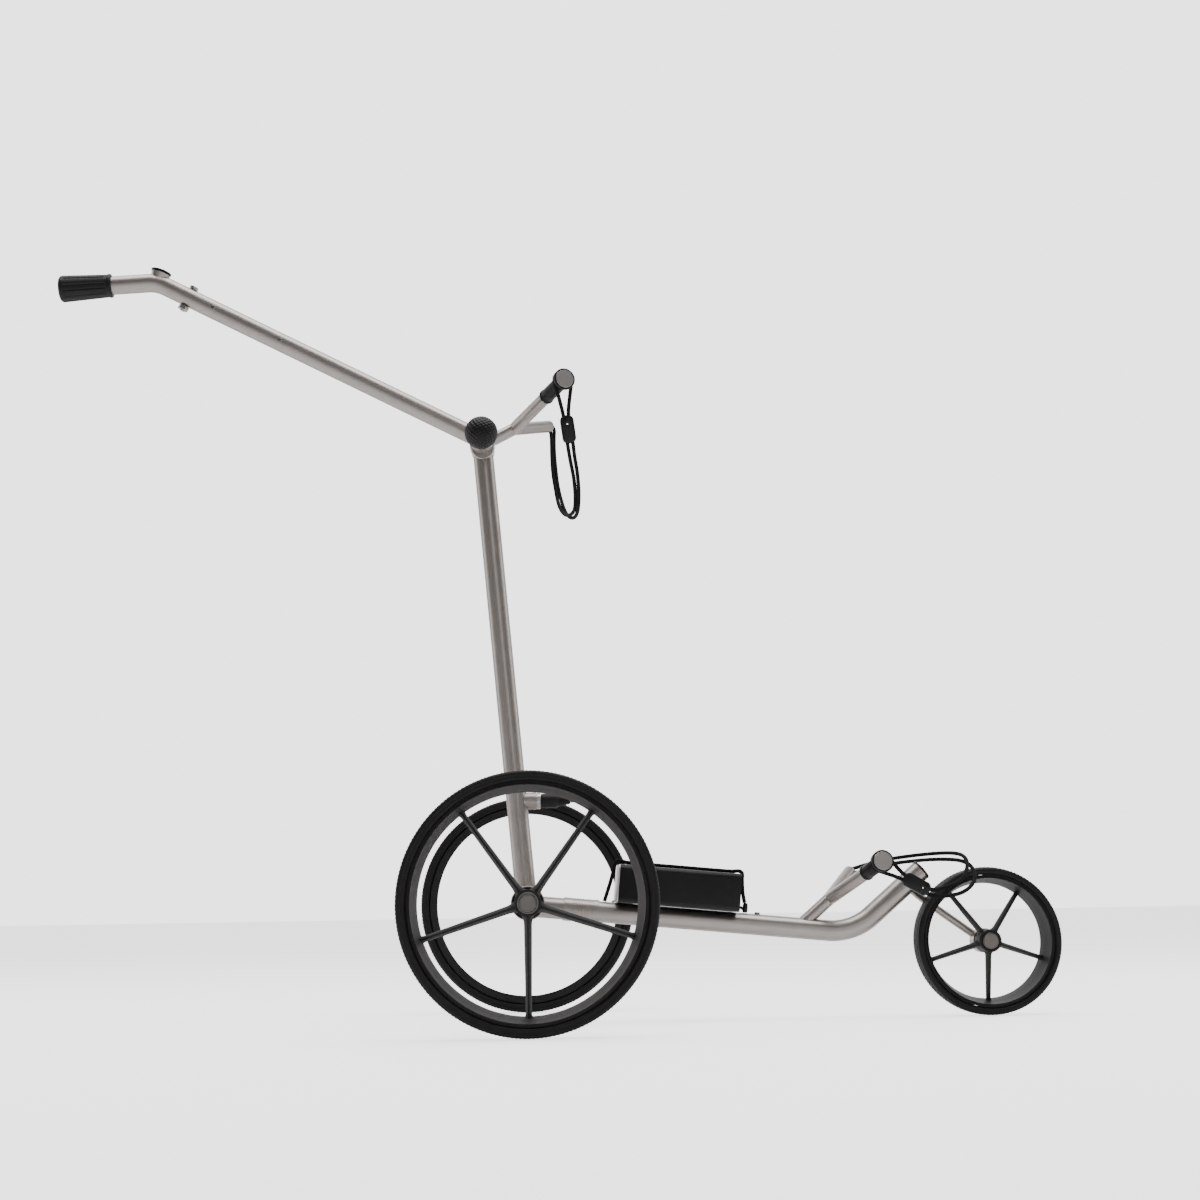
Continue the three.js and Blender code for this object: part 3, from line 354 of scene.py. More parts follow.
def lathe(profile, origin=(0, 0, 0), direction=(0, 1, 0), sides=64, ripple=None):
    """Solid of revolution: profile is a list of (radius, distance), closed or from axis to axis.

    ripple(i, j, radius) may change the radius of profile point i at side j.
    """
    points, rings = [], []
    for i, (radius, distance) in enumerate(profile):
        if radius == 0:
            rings.append([len(points)] * sides)
            points.append((0, distance, 0))
            continue
        rings.append(list(range(len(points), len(points) + sides)))
        for j in range(sides):
            angle = 2 * math.pi * j / sides
            here = ripple(i, j, radius) if ripple else radius
            points.append((here * math.sin(angle), distance, here * math.cos(angle)))
    faces = []
    closed = profile[0][0] != 0
    pairs = list(zip(rings, rings[1:])) + ([(rings[-1], rings[0])] if closed else [])
    for a, b in pairs:
        if a[0] == a[1] and b[0] == b[1]:
            continue
        for j in range(sides):
            k = (j + 1) % sides
            faces.append(list(dict.fromkeys((a[j], a[k], b[k], b[j]))))
    return outward(Shape(points, faces)).moved(aim(Vector(origin), direction))


def stacked(rings):
    """A solid through rings of the same number of points, closed at both ends."""
    n = len(rings[0])
    faces = []
    for i in range(len(rings) - 1):
        for j in range(n):
            k = (j + 1) % n
            faces.append([i * n + j, i * n + k, (i + 1) * n + k, (i + 1) * n + j])
    faces += [list(reversed(range(n))), [(len(rings) - 1) * n + j for j in range(n)]]
    return outward(Shape(sum(rings, []), faces))


def rounded_outline(half, low, high, radius, steps=8):
    """A rectangle with round corners, between -half and half, and between low and high."""
    outline = []
    x, low, high = half - radius, low + radius, high - radius
    for cx, cy, first in ((x, low, -90), (x, high, 0), (-x, high, 90), (-x, low, 180)):
        for k in range(steps + 1):
            angle = math.radians(first + 90 * k / steps)
            outline.append((cx + radius * math.cos(angle), cy + radius * math.sin(angle)))
    return outline


def outward(shape):
    """The same shape with its faces pointing out."""
    volume = 0
    for face in shape.faces:
        a = shape.points[face[0]]
        for k in range(1, len(face) - 1):
            volume += np.dot(a, np.cross(shape.points[face[k]], shape.points[face[k + 1]]))
    if volume < 0:
        shape.faces = [list(reversed(face)) for face in shape.faces]
    return shape


def box_shape(x, y, z):
    points = [(sx * x / 2, sy * y / 2, sz * z / 2) for sx in (-1, 1) for sy in (-1, 1) for sz in (-1, 1)]
    faces = [(0, 1, 3, 2), (4, 6, 7, 5), (0, 4, 5, 1), (2, 3, 7, 6), (0, 2, 6, 4), (1, 5, 7, 3)]
    return outward(Shape(points, [list(f) for f in faces]))


def edged(radius, length, edge):
    """The outside of a cylinder's profile, with its edges cut off at 45 degrees."""
    return [(radius - edge, 0), (radius, edge), (radius, length - edge), (radius - edge, length)]


def bar(start, end, radius, sides=48, edge=0.0):
    start, end = Vector(start), Vector(end)
    length = (end - start).length
    side = edged(radius, length, edge) if edge else [(radius, 0), (radius, length)]
    return lathe([(0, 0), *side, (0, length)], start, end - start, sides)


def pipe(start, end, outer, inner, sides=64):
    start, end = Vector(start), Vector(end)
    length = (end - start).length
    profile = [(inner, 0), *edged(outer, length, PIPE_EDGE), (inner, length)]
    return lathe(profile, start, end - start, sides)


def transported(points):
    """A frame at each point of a route that turns no more than it has to."""
    points = [Vector(p) for p in points]
    ways = [(b - a).normalized() for a, b in zip(points, points[1:])]
    tangents = [ways[0]] + [(a + b).normalized() for a, b in zip(ways, ways[1:])] + [ways[-1]]
    side = tangents[0].orthogonal().normalized()
    frames = []
    for i, tangent in enumerate(tangents):
        if i:
            side = tangents[i - 1].rotation_difference(tangent) @ side
            side = (side - tangent * side.dot(tangent)).normalized()
        frames.append((points[i], side, tangent.cross(side)))
    return frames


def sweep(points, outer, inner=0.0, sides=48, surface=None):
    """Tube or bar along a route. surface(i, angle) may scale the outer radius."""
    frames = transported(points)
    made = []

    def ring(i, radius, shaped):
        place, side, up = frames[i]
        first = len(made)
        for j in range(sides):
            angle = 2 * math.pi * j / sides
            here = radius * (surface(i, angle) if surface and shaped else 1)
            made.append(place + side * (here * math.cos(angle)) + up * (here * math.sin(angle)))
        return list(range(first, first + sides))

    rings = [ring(i, outer, True) for i in range(len(frames))]
    loops = list(rings)
    if inner:
        loops += [ring(i, inner, False) for i in reversed(range(len(frames)))]
        loops.append(rings[0])
    faces = []
    for a, b in zip(loops, loops[1:]):
        for j in range(sides):
            k = (j + 1) % sides
            faces.append([a[j], a[k], b[k], b[j]])
    if not inner:
        faces += [list(reversed(rings[0])), list(rings[-1])]
    return outward(Shape([tuple(p) for p in made], faces))


STATION_SPACING = 40


def rounded(start, corner, end, radius, steps):
    """A route with one rounded corner, and stations along its straight stretches."""
    start, corner, end = Vector(start), Vector(corner), Vector(end)
    inward, onward = (corner - start).normalized(), (end - corner).normalized()
    turn = inward.angle(onward)
    reach = radius * math.tan(turn / 2)
    first, last = corner - inward * reach, corner + onward * reach
    side = (onward - inward * onward.dot(inward)).normalized()
    arc = [first + inward * (radius * math.sin(turn * i / steps))
           + side * (radius * (1 - math.cos(turn * i / steps))) for i in range(steps + 1)]
    return straight(start, first)[:-1] + arc + straight(last, end)[1:]


def straight(start, end):
    count = max(1, round((end - start).length / STATION_SPACING))
    return [start.lerp(end, i / count) for i in range(count + 1)]


def between(p, q, t, start, end):
    """The point at t on the line through p at start and q at end."""
    return p * ((end - t) / (end - start)) + q * ((t - start) / (end - start))


def smooth(points, step):
    """Centripetal Catmull-Rom curve through the points, sampled about every step."""
    points = [Vector(p) for p in points]
    ends = [points[0] * 2 - points[1]] + points + [points[-1] * 2 - points[-2]]
    made = []
    for p0, p1, p2, p3 in zip(ends, ends[1:], ends[2:], ends[3:]):
        t0 = 0
        t1 = t0 + math.sqrt((p1 - p0).length)
        t2 = t1 + math.sqrt((p2 - p1).length)
        t3 = t2 + math.sqrt((p3 - p2).length)
        count = max(2, round((p2 - p1).length / step))
        for i in range(count):
            t = t1 + (t2 - t1) * i / count
            a1 = between(p0, p1, t, t0, t1)
            a2 = between(p1, p2, t, t1, t2)
            a3 = between(p2, p3, t, t2, t3)
            b1 = between(a1, a2, t, t0, t2)
            b2 = between(a2, a3, t, t1, t3)
            made.append(between(b1, b2, t, t1, t2))
    return made + [points[-1]]


def length_of(points):
    return sum((b - a).length for a, b in zip(points, points[1:]))


# ---- making pieces
BEVEL_ANGLE = math.radians(32)


def mesh_piece(name, shape, node=None, bevel=0.0, matrix=Matrix(), look=None, smooth_angle=38, bend=None):
    """A shape as a piece, riding on its node's body, or left unattached in the frame when a bend is given.
    """
    node = node or name
    mesh = shape.moved(matrix).mesh(name)
    mesh.transform(TO_FRAME)
    obj = bpy.data.objects.new(name, mesh)
    bpy.context.scene.collection.objects.link(obj)
    if bevel:
        edge = obj.modifiers.new("bevel", "BEVEL")
        edge.width = bevel * MM
        edge.segments = 3
        edge.limit_method = "ANGLE"
        edge.angle_limit = BEVEL_ANGLE
        edge.harden_normals = True
    finish_mesh(obj, smooth_angle)
    slot = RECORD_SLOT[node]
    obj.data.materials.clear()
    obj.data.materials.append(LOOKS[look or slot])
    if bend:
        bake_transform(obj)
    else:
        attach(obj, BODY[node])
    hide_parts(node)
    return obj


def finish_mesh(obj, angle):
    """Applies the piece's modifiers and shades it smooth between sharp edges."""
    graph = bpy.context.evaluated_depsgraph_get()
    graph.update()
    mesh = bpy.data.meshes.new_from_object(obj.evaluated_get(graph))
    obj.modifiers.clear()
    obj.data = mesh
    mesh.shade_smooth()
    mesh.set_sharp_from_angle(angle=math.radians(angle))


def combined(base, others, operation="UNION"):
    """Boolean of shapes, as a new shape."""
    scene = bpy.context.scene.collection
    obj = bpy.data.objects.new("work", base.mesh("work"))
    scene.objects.link(obj)
    helpers = []
    for other in others:
        tool = bpy.data.objects.new("tool", other.mesh("tool"))
        scene.objects.link(tool)
        helpers.append(tool)
        step = obj.modifiers.new("boolean", "BOOLEAN")
        step.operation = operation
        step.solver = "MANIFOLD"
        step.object = tool
    graph = bpy.context.evaluated_depsgraph_get()
    graph.update()
    mesh = bpy.data.meshes.new_from_object(obj.evaluated_get(graph))
    points = [tuple(v.co) for v in mesh.vertices]
    faces = [list(p.vertices) for p in mesh.polygons]
    for helper in [obj, *helpers]:
        bpy.data.objects.remove(helper)
    return Shape(points, faces)


def cut(base, others):
    return combined(base, others, "DIFFERENCE")


# ---- wheels
TREAD_RIBS = 4
CROWN_FALL = 0.7
GROOVE_DEPTH = 1.9
GROOVE_SHARE = 0.17
RIDGE_DEPTH = 0.5
SIDES_PER_MM = 2.6
SPOKES = 5
SPOKE_FLARE = 6


def tyre(name, radius, seat, half, matrix):
    """Tyre with grooves round its tread and fine ridges across it, one to every two sides."""
    tread = half - 4.6
    wall = [(seat, half - 3.4), (seat + 0.7, half - 3), (seat + 1.5, half - 1), (seat + 2.2, half - 0.2),
            (seat + 3, half), (seat + 5, half - 0.25), (radius - 6.4, half - 0.25), (radius - 5.6, half)]
    turns = [math.pi / 16 * k for k in range(1, 9)]
    corner = [(radius - 5.6 + 4.4 * math.sin(turn), half - 3.6 * (1 - math.cos(turn))) for turn in turns]
    crown = []
    steps = 44
    for k in range(steps + 1):
        y = tread * (1 - 2 * k / steps)
        fall = CROWN_FALL * (y / tread) ** 2
        phase = abs((y / tread * TREAD_RIBS / 2) % 1 - 0.5)
        groove = GROOVE_DEPTH if phase < GROOVE_SHARE else 0
        crown.append((radius - fall - groove, y))
    side = wall + corner
    profile = side + crown + [(r, -y) for r, y in reversed(side)]
    first, last = len(side), len(side) + steps
    sides = round(radius * SIDES_PER_MM / 4) * 4

    def ripple(i, j, here):
        return here - (RIDGE_DEPTH if first <= i <= last and j % 2 else 0)

    mesh_piece(name, lathe(profile, sides=sides, ripple=ripple), matrix=matrix, smooth_angle=50)


def spoke(angle, inner, outer, widths, places, depths):
    """Spoke with a narrow raised strip along the middle and sloping flanks, widening at its ends."""
    section = [(-0.12, 0), (0.12, 0), (0.15, 0.03), (0.46, 0.5), (0.5, 0.6), (0.5, 0.95), (0.45, 1),
               (-0.45, 1), (-0.5, 0.95), (-0.5, 0.6), (-0.46, 0.5), (-0.15, 0.03)]
    steps = 40
    rings = []
    for i in range(steps + 1):
        t = i / steps
        radius = inner + (outer - inner) * t
        wide = widths[0] + (widths[1] - widths[0]) * t
        wide += SPOKE_FLARE * (max(0, 1 - t / 0.1) ** 2 + max(0, 1 - (1 - t) / 0.06) ** 2)
        y = places[0] + (places[1] - places[0]) * t
        depth = depths[0] + (depths[1] - depths[0]) * t
        rings.append([(radius, y + deep * depth, aside * wide) for aside, deep in section])
    return stacked(rings).moved(Matrix.Rotation(-angle, 4, "Y"))


def rim(name, ring, hub, matrix, **shape):
    """Ring, hub and spokes in one piece."""
    angles = [math.radians(-90 + 360 / SPOKES * i) for i in range(SPOKES)]
    spokes = [spoke(angle, **shape) for angle in angles]
    body = combined(lathe(ring, sides=160), [lathe(hub, sides=64), *spokes])
    mesh_piece(name, body, matrix=matrix, smooth_angle=32)


def rear_wheel(side, sign):
    """Wheel, quick release, shaft, bearing and motor. The sign is 1 at the left and -1 at the right."""
    facing = Matrix.Rotation(math.pi if sign > 0 else 0, 4, "Z")
    matrix = Matrix.Translation((0, sign * TRACK / 2, 0)) @ facing
    tyre(f"tyre_{side}", REAR_RADIUS, 136.8, 21.5, matrix)
    ring = [(132.6, -19.6), (133, -20), (133.7, -20), (134.1, -19.5), (134.3, -17.6), (136.5, -17.4),
            (136.5, 19.6), (136.1, 20), (126.6, 20), (126.2, 19.5), (126.4, 17), (129.4, 0), (132.4, -17)]
    hub = [(12.5, -7.4), (14.6, -7.4), (15.2, -6.8), (15.5, -6), (15.4, 8), (15, 22.1), (14.6, 22.5),
           (6.4, 22.5), (6.4, 2), (12.5, 2)]
    rim(f"rim_{side}", ring, hub, matrix, inner=12.8, outer=129.5, widths=(9.3, 6.9), places=(-5, 9),
        depths=(15, 10))
    collar = pipe((0, -8, 0), (0, 1.6, 0), 12.4, 10.7, 72)
    mesh_piece(f"hub_ring_{side}", collar, f"rim_{side}", matrix=matrix, look="dark_titanium")
    button = [(0, -9.4), (8.6, -9.5), (8.8, -9.2), (9.1, -9.2), (9.3, -9.5), (9.8, -9.4), (10.2, -9),
              (10.3, -8.4), (10.3, -2), (0, -2)]
    mesh_piece(f"release_button_{side}", lathe(button, sides=72), matrix=matrix, look="dark_titanium")
    out = LEFT * sign
    shaft = [(0, 207), (6, 207), (6, 265.4), (5.4, 266), (0, 266)]
    mesh_piece(f"drive_shaft_{side}", lathe(shaft, direction=out, sides=64))
    flange = pipe(out * 241.5, out * 246.5, 18.4, 6.05, 72)
    mesh_piece(f"shaft_flange_{side}", flange, f"drive_shaft_{side}", look="black_plastic")
    motor = [(0, 62), (15.6, 62), (16, 62.4), (16, 148), (17.3, 150), (17.3, 200), (9, 200), (9, 206),
             (0, 206)]
    mesh_piece(f"gearmotor_{side}", lathe(motor, direction=out, sides=64))
    bearing = [(6.4, 228), (17, 228), (17.4, 228.4), (17.4, 238.6), (17, 239), (6.4, 239)]
    mesh_piece(f"axle_bearing_{side}", lathe(bearing, direction=out, sides=64))


def front_wheel():
    matrix = FRONT @ Matrix.Translation(FRONT_HUB) @ Matrix.Rotation(-LOWER_SLOPE, 4, "Y")
    tyre("front_tyre", FRONT_RADIUS, 83.5, 18.5, matrix)
    ring = [(79, -16.6), (79.4, -17), (80.1, -17), (80.5, -16.5), (80.7, -14.6), (83.2, -14.4),
            (83.2, 16.6), (82.8, 17), (73.4, 17), (73, 16.5), (73.2, 14), (76, 0), (78.8, -14)]
    hub = [(10.7, -19.6), (11.1, -20), (11.7, -20), (12.1, -19.2), (13.4, -19.2), (14.1, -18.6),
           (14.4, -17.6), (14.4, 8.1), (14, 8.5), (11, 8.5), (11, -12), (11, -14.5), (5.6, -14.5),
           (5.6, -15.5), (10.7, -15.5)]
    rim("front_rim", ring, hub, matrix, inner=12.6, outer=76, widths=(7.2, 5.6), places=(-14, 3),
        depths=(14, 9))
    cap = [(0, -21.1), (8.6, -21.2), (8.8, -20.9), (9.1, -20.9), (9.3, -21.2), (9.8, -21.1), (10.2, -20.7),
           (10.4, -20), (10.4, -16), (0, -16)]
    mesh_piece("front_hub_cap", lathe(cap, sides=64), matrix=matrix, look="dark_titanium")
    mesh_piece("front_bearing", pipe((0, -11, 0), (0, 8, 0), 10.7, 5.3, 48), matrix=matrix)


# ---- frame tubes
def across(centre, half, radius, edge=0.0):
    """A bar from the trolley's right to its left."""
    return bar(centre - LEFT * half, centre + LEFT * half, radius, 72, edge)


def axle_and_post():
    axle = pipe((0, -AXLE_HALF, 0), (0, AXLE_HALF, 0), AXLE_RADIUS, AXLE_RADIUS - AXLE_WALL, 96)
    mesh_piece("axle_tube", axle)
    foot, neck = PIVOT - POST_UP * POST_LENGTH, PIVOT - POST_UP * 8
    post = pipe(foot, neck, POST_RADIUS, POST_RADIUS - WALL, 72)
    head = [across(PIVOT, HEAD_HALF, HEAD_RADIUS, 1.2), across(HEAD_LOW, HEAD_HALF, HEAD_LOW_RADIUS, 1.2)]
    body = combined(post, head)
    cuts = [across(PIVOT, HEAD_HALF + 20, BOLT_BORE), across(Vector(), 40, AXLE_RADIUS + TUBE_ROOM),
            bar((-12, 0, SOCKET_Z), (8, 0, SOCKET_Z), 6)]
    mesh_piece("main_post", cut(body, cuts), smooth_angle=30)


def bracket_arms(fork, slope, base, spread, reach):
    """The V of the two arms, the stem behind it, the arms' hollow and their ends.

    The arms reach that far to each side, and forward by the spread for each millimetre of it.
    """
    forward = Vector((math.cos(slope), 0, math.sin(slope)))
    tips = [fork + forward * (spread * reach) + LEFT * (sign * reach) for sign in (-1, 1)]
    route = rounded(tips[0], fork, tips[1], radius=17, steps=16)
    vee = sweep(route, ARM_RADIUS, ARM_RADIUS - ARM_WALL, 48)
    hollow = sweep(route, ARM_RADIUS - ARM_WALL, 0, 32)
    stem = bar(base, fork + forward * 5.4, ARM_RADIUS, 64)
    return vee, stem, hollow, tips


def knob(prefix, arm_end, fork, face, facing, matrix):
    """Moulded end knob and its metal face. Returns the middle of the neck."""
    way = (arm_end - fork).normalized()

    def behind(depth):
        return face - facing * depth

    start = arm_end - way * 11
    elbow = behind(NECK_BACK + 2)
    route = rounded(start, arm_end + way * 2, elbow, radius=9, steps=12)
    turns = [math.pi * k / 24 for k in range(1, 24)]
    half_circle = [(SLEEVE_RADIUS * math.sin(turn), -SLEEVE_RADIUS * math.cos(turn)) for turn in turns]
    ball = lathe([(0, -SLEEVE_RADIUS), *half_circle, (0, SLEEVE_RADIUS)], elbow, way, 48)
    outer = SLEEVE_RADIUS + 0.8
    collar = lathe([(0, 0), (outer - 0.3, 0), (outer, 0.3), (outer, 2.6), (outer - 0.4, 3.1), (0, 3.4)],
                   start, way, 64)
    socket = bar(start - way, arm_end + way * 1.5, ARM_RADIUS + TUBE_ROOM, 64)
    sleeve = cut(combined(sweep(route, SLEEVE_RADIUS, 0, 64), [ball, collar]), [socket])
    front_cut = bar(behind(NECK_BACK), behind(-30), 30)
    flange = lathe(
        [(0, -FLANGE_DEPTH), (KNOB_RADIUS - 1.2, -FLANGE_DEPTH), (KNOB_RADIUS - 0.4, -FLANGE_DEPTH + 0.4),
         (KNOB_RADIUS, -FLANGE_DEPTH + 1.2), (KNOB_RADIUS, -1), (KNOB_RADIUS - 0.4, -0.3),
         (KNOB_RADIUS - 1, 0), (12.1, 0), (11.9, -0.2), (11.9, -1.6), (0, -1.6)], face, facing, 72)
    stem = bar(behind(NECK_BACK + 3), behind(FLANGE_DEPTH - 1), NECK_RADIUS)
    body = combined(cut(sleeve, [front_cut]), [stem, flange])
    mesh_piece(f"{prefix}_knob", body, matrix=matrix, smooth_angle=32)
    plate = lathe([(0, -1.3), (11.6, -1.3), (11.6, 0), (11.4, 0.2), (10.5, 0.2), (10.4, 0.02), (10.1, 0.02),
                   (10, 0.2), (0, 0.2)], face, facing, 72)
    mesh_piece(f"{prefix}_knob_face", plate, matrix=matrix)
    return behind((NECK_BACK + FLANGE_DEPTH) / 2)


def anchor(prefix, arm_end, fork, matrix):
    """Plug in the far arm that holds the ends of the strap."""
    way = (arm_end - fork).normalized()
    plug = bar(arm_end - way * 12, arm_end - way * 1.5, ARM_RADIUS - 1.7, 48, 0.6)
    mesh_piece(f"{prefix}_strap_anchor", plug, matrix=matrix)


# ---- straps
def strap_route(there, place, neck, facing, back):
    """Points of a doubled strap: there to the slider, round the neck, and back through the slider."""
    down = place["down"]
    lateral = down.cross(place["facing"]).normalized()

    def strand(side, along):
        return place["centre"] + lateral * (side * SLIDER["pitch"] / 2) + down * along

    below = SLIDER["length"] / 2 + 2
    radius = NECK_RADIUS + CORD_RADIUS + LOOP_ROOM
    first, last = strand(-1, -below), strand(1, -below)
    away = place["centre"] - neck
    ahead = (away - facing * away.dot(facing)).normalized()
    aside = facing.cross(ahead)

    def touch(point):
        a, b = (point - neck).dot(ahead), (point - neck).dot(aside)
        return math.atan2(b, a) + math.copysign(math.acos(radius / math.hypot(a, b)), b)

    start, end = touch(first), touch(last)
    turn = end - start + (2 if start > 0 else -2) * math.pi
    angles = [start + turn * i / 10 for i in range(11)]
    loop = [neck + ahead * (radius * math.cos(a)) + aside * (radius * math.sin(a)) for a in angles]
    to_neck = [*map(Vector, there), strand(-1, below), strand(-1, 0), first]
    from_neck = [last, strand(1, 0), strand(1, below), *map(Vector, back)]
    return [*to_neck, *loop, *from_neck]


def braid(points, radius, pitch=7.0, sides=16):
    """A braided cord: two opposed sets of strands wind round it."""
    step = length_of(points) / (len(points) - 1)

    def surface(i, angle):
        along = 2 * math.pi * i * step / pitch
        return 0.965 + 0.035 * abs(math.sin(2 * angle + along)) * abs(math.sin(2 * angle - along)) * 2

    return sweep(points, radius, 0, sides, surface)


def slider(name, place):
    """Slider with a channel for each strand and a small hole through its face."""
    lateral = place["down"].cross(place["facing"]).normalized()
    front = lateral.cross(place["down"])
    turn = Matrix((lateral, place["down"], front)).transposed().to_4x4()
    matrix = Matrix.Translation(place["centre"]) @ turn
    wide, long, deep = SLIDER["width"] / 2, SLIDER["length"] / 2, SLIDER["depth"] / 2
    outline = rounded_outline(wide, -long, long, SLIDER["corner"])
    levels = [(-deep, 1.4), (-deep + 0.5, 0.6), (-deep + 1.5, 0), (deep - 1.5, 0), (deep - 0.5, 0.6),
              (deep, 1.4)]
    body = stacked([[(x * (1 - inset / wide), y * (1 - inset / long), z) for x, y in outline]
                    for z, inset in levels])
    reach = LEFT * (long + 4)
    channels = [bar(middle - reach, middle + reach, CORD_RADIUS + CHANNEL_ROOM, 32)
                for middle in (Vector((side * SLIDER["pitch"] / 2, 0, 0)) for side in (-1, 1))]
    hole = place["hole"] * long
    eyelet = bar((0, hole, -deep - 1), (0, hole, deep + 1), SLIDER["eyelet"], 32)
    body = cut(body, [*channels, eyelet])
    return mesh_piece(name, body, matrix=matrix, smooth_angle=32)


UPPER_FORK = Vector((-11.8, 0, 622.6))
UPPER_SLOPE = math.radians(28.25)
UPPER_FACE = Vector((54.2, -117, 658))
UPPER_FACING = Vector((0.3, -0.95, 0.04)).normalized()
UPPER_SLIDER = {
    "centre": Vector((58, -92, 598)),
    "down": Vector((0.137, 0.11, -0.984)).normalized(),
    "facing": Vector((0.02, -1, -0.11)).normalized(),
    "hole": -0.38,
}
UPPER_STRAP_OUT = [
    (36.2, 86.2, 651.6), (40, 93, 652), (43.5, 98, 647), (43.5, 98.5, 636), (43.5, 95, 614), (45, 89, 590),
    (47, 81, 567), (51, 68, 543), (56, 47, 521), (62, 18, 506), (68, -12, 501), (71, -38, 506),
    (71.5, -60, 524), (69.5, -74, 545), (66, -84, 565),
]
UPPER_STRAP_BACK = [
    (60.5, -82, 560), (64.8, -70, 540), (67, -52, 521), (66.5, -28, 507.5), (60.5, 3, 506),
    (52.8, 37, 516.5), (47.2, 61, 535), (44, 73.5, 557), (41, 83, 581), (39.8, 89, 606), (39.6, 93, 632),
    (38.6, 94, 642.5), (36.8, 91, 646.8), (34.2, 86.2, 646.4),
]
LOWER_FORK = Vector((383.9, 0, 39.1))
LOWER_FOOT = Vector((346.5, 0, 0))
LOWER_BRACKET_SLOPE = math.radians(46.2)
LOWER_FACE = Vector((432.8, -99.7, 90.2))
LOWER_FACING = Vector((0.08, -0.975, 0.2)).normalized()
LOWER_SLIDER = {
    "centre": Vector((480.5, -95, 15.7)),
    "down": Vector((0.866, -0.03, -0.5)).normalized(),
    "facing": Vector((-0.03, -1, 0)).normalized(),
    "hole": 0.5,
}
LOWER_STRAP_OUT = [
    (428.8, 81.2, 36.4), (434, 88, 39), (443, 95, 41.5), (454, 97, 44.5), (468, 91, 48), (486, 77, 51.5),
    (506, 57, 54), (523, 36, 55.5), (538, 14, 56), (549, -8, 55), (555, -29, 51.5), (556, -47, 44),
    (552, -62, 34), (544, -76, 24), (533, -86, 16.5), (520, -91, 12), (510, -93.4, 9.5),
]
LOWER_STRAP_BACK = [
    (506, -96, 0.5), (520, -95.5, 1), (536, -91.5, 4), (549, -84, 10.5), (558, -73, 19.5), (562, -58, 30),
    (561, -41, 39), (554, -22, 45), (541, 0, 47.5), (524, 22, 48), (506, 44, 47), (487, 64, 45),
    (469, 81, 41.5), (454, 90, 38), (443, 91, 35), (434, 86.5, 32.5), (427.4, 81.6, 31.4),
]


def declared_cord(name, shape, matrix=Matrix(), bend=None):
    """The cord's mesh as a piece, shaded smooth, with any bend passed on to mesh_piece()."""
    piece = mesh_piece(name, shape, matrix=matrix, smooth_angle=80, bend=bend)


def strap(prefix, there, place, neck, facing, back):
    """A doubled strap from the far arm to the knob's neck, and its slider."""
    route = smooth(strap_route(there, place, neck, facing, back), 1.0)
    lock = slider(f"{prefix}_strap_slider", place)
    declared_cord(f"{prefix}_strap", braid(route, CORD_RADIUS))


def upper_bracket():
    forward = Vector((math.cos(UPPER_SLOPE), 0, math.sin(UPPER_SLOPE)))
    vee, stem, hollow, tips = bracket_arms(UPPER_FORK, UPPER_SLOPE, PIVOT + forward * 10,
                                           spread=0.64, reach=84.4)
    head = [across(PIVOT, 20, HEAD_RADIUS + TUBE_ROOM), across(HEAD_LOW, 20, HEAD_LOW_RADIUS + TUBE_ROOM)]
    stem = cut(stem, [hollow, *head])
    mesh_piece("upper_bracket", combined(vee, [stem]), smooth_angle=40)
    neck = knob("upper", tips[0], UPPER_FORK, UPPER_FACE, UPPER_FACING, Matrix())
    anchor("upper", tips[1], UPPER_FORK, Matrix())
    strap("upper", UPPER_STRAP_OUT, UPPER_SLIDER, neck, UPPER_FACING, UPPER_STRAP_BACK)


def lower_bracket():
    vee, stem, hollow, tips = bracket_arms(LOWER_FORK, LOWER_BRACKET_SLOPE, LOWER_FOOT,
                                           spread=0.71, reach=77.9)
    tube = bar((300, 0, 0), (400, 0, 0), TUBE_RADIUS + TUBE_ROOM, 72)
    stem = cut(stem, [hollow, tube])
    mesh_piece("lower_bracket", combined(vee, [stem]), matrix=FRONT, smooth_angle=40)
    neck = knob("lower", tips[0], LOWER_FORK, LOWER_FACE, LOWER_FACING, FRONT)
    anchor("lower", tips[1], LOWER_FORK, FRONT)
    facing = (FRONT.to_3x3() @ LOWER_FACING).normalized()
    strap("lower", LOWER_STRAP_OUT, LOWER_SLIDER, FRONT @ neck, facing, LOWER_STRAP_BACK)


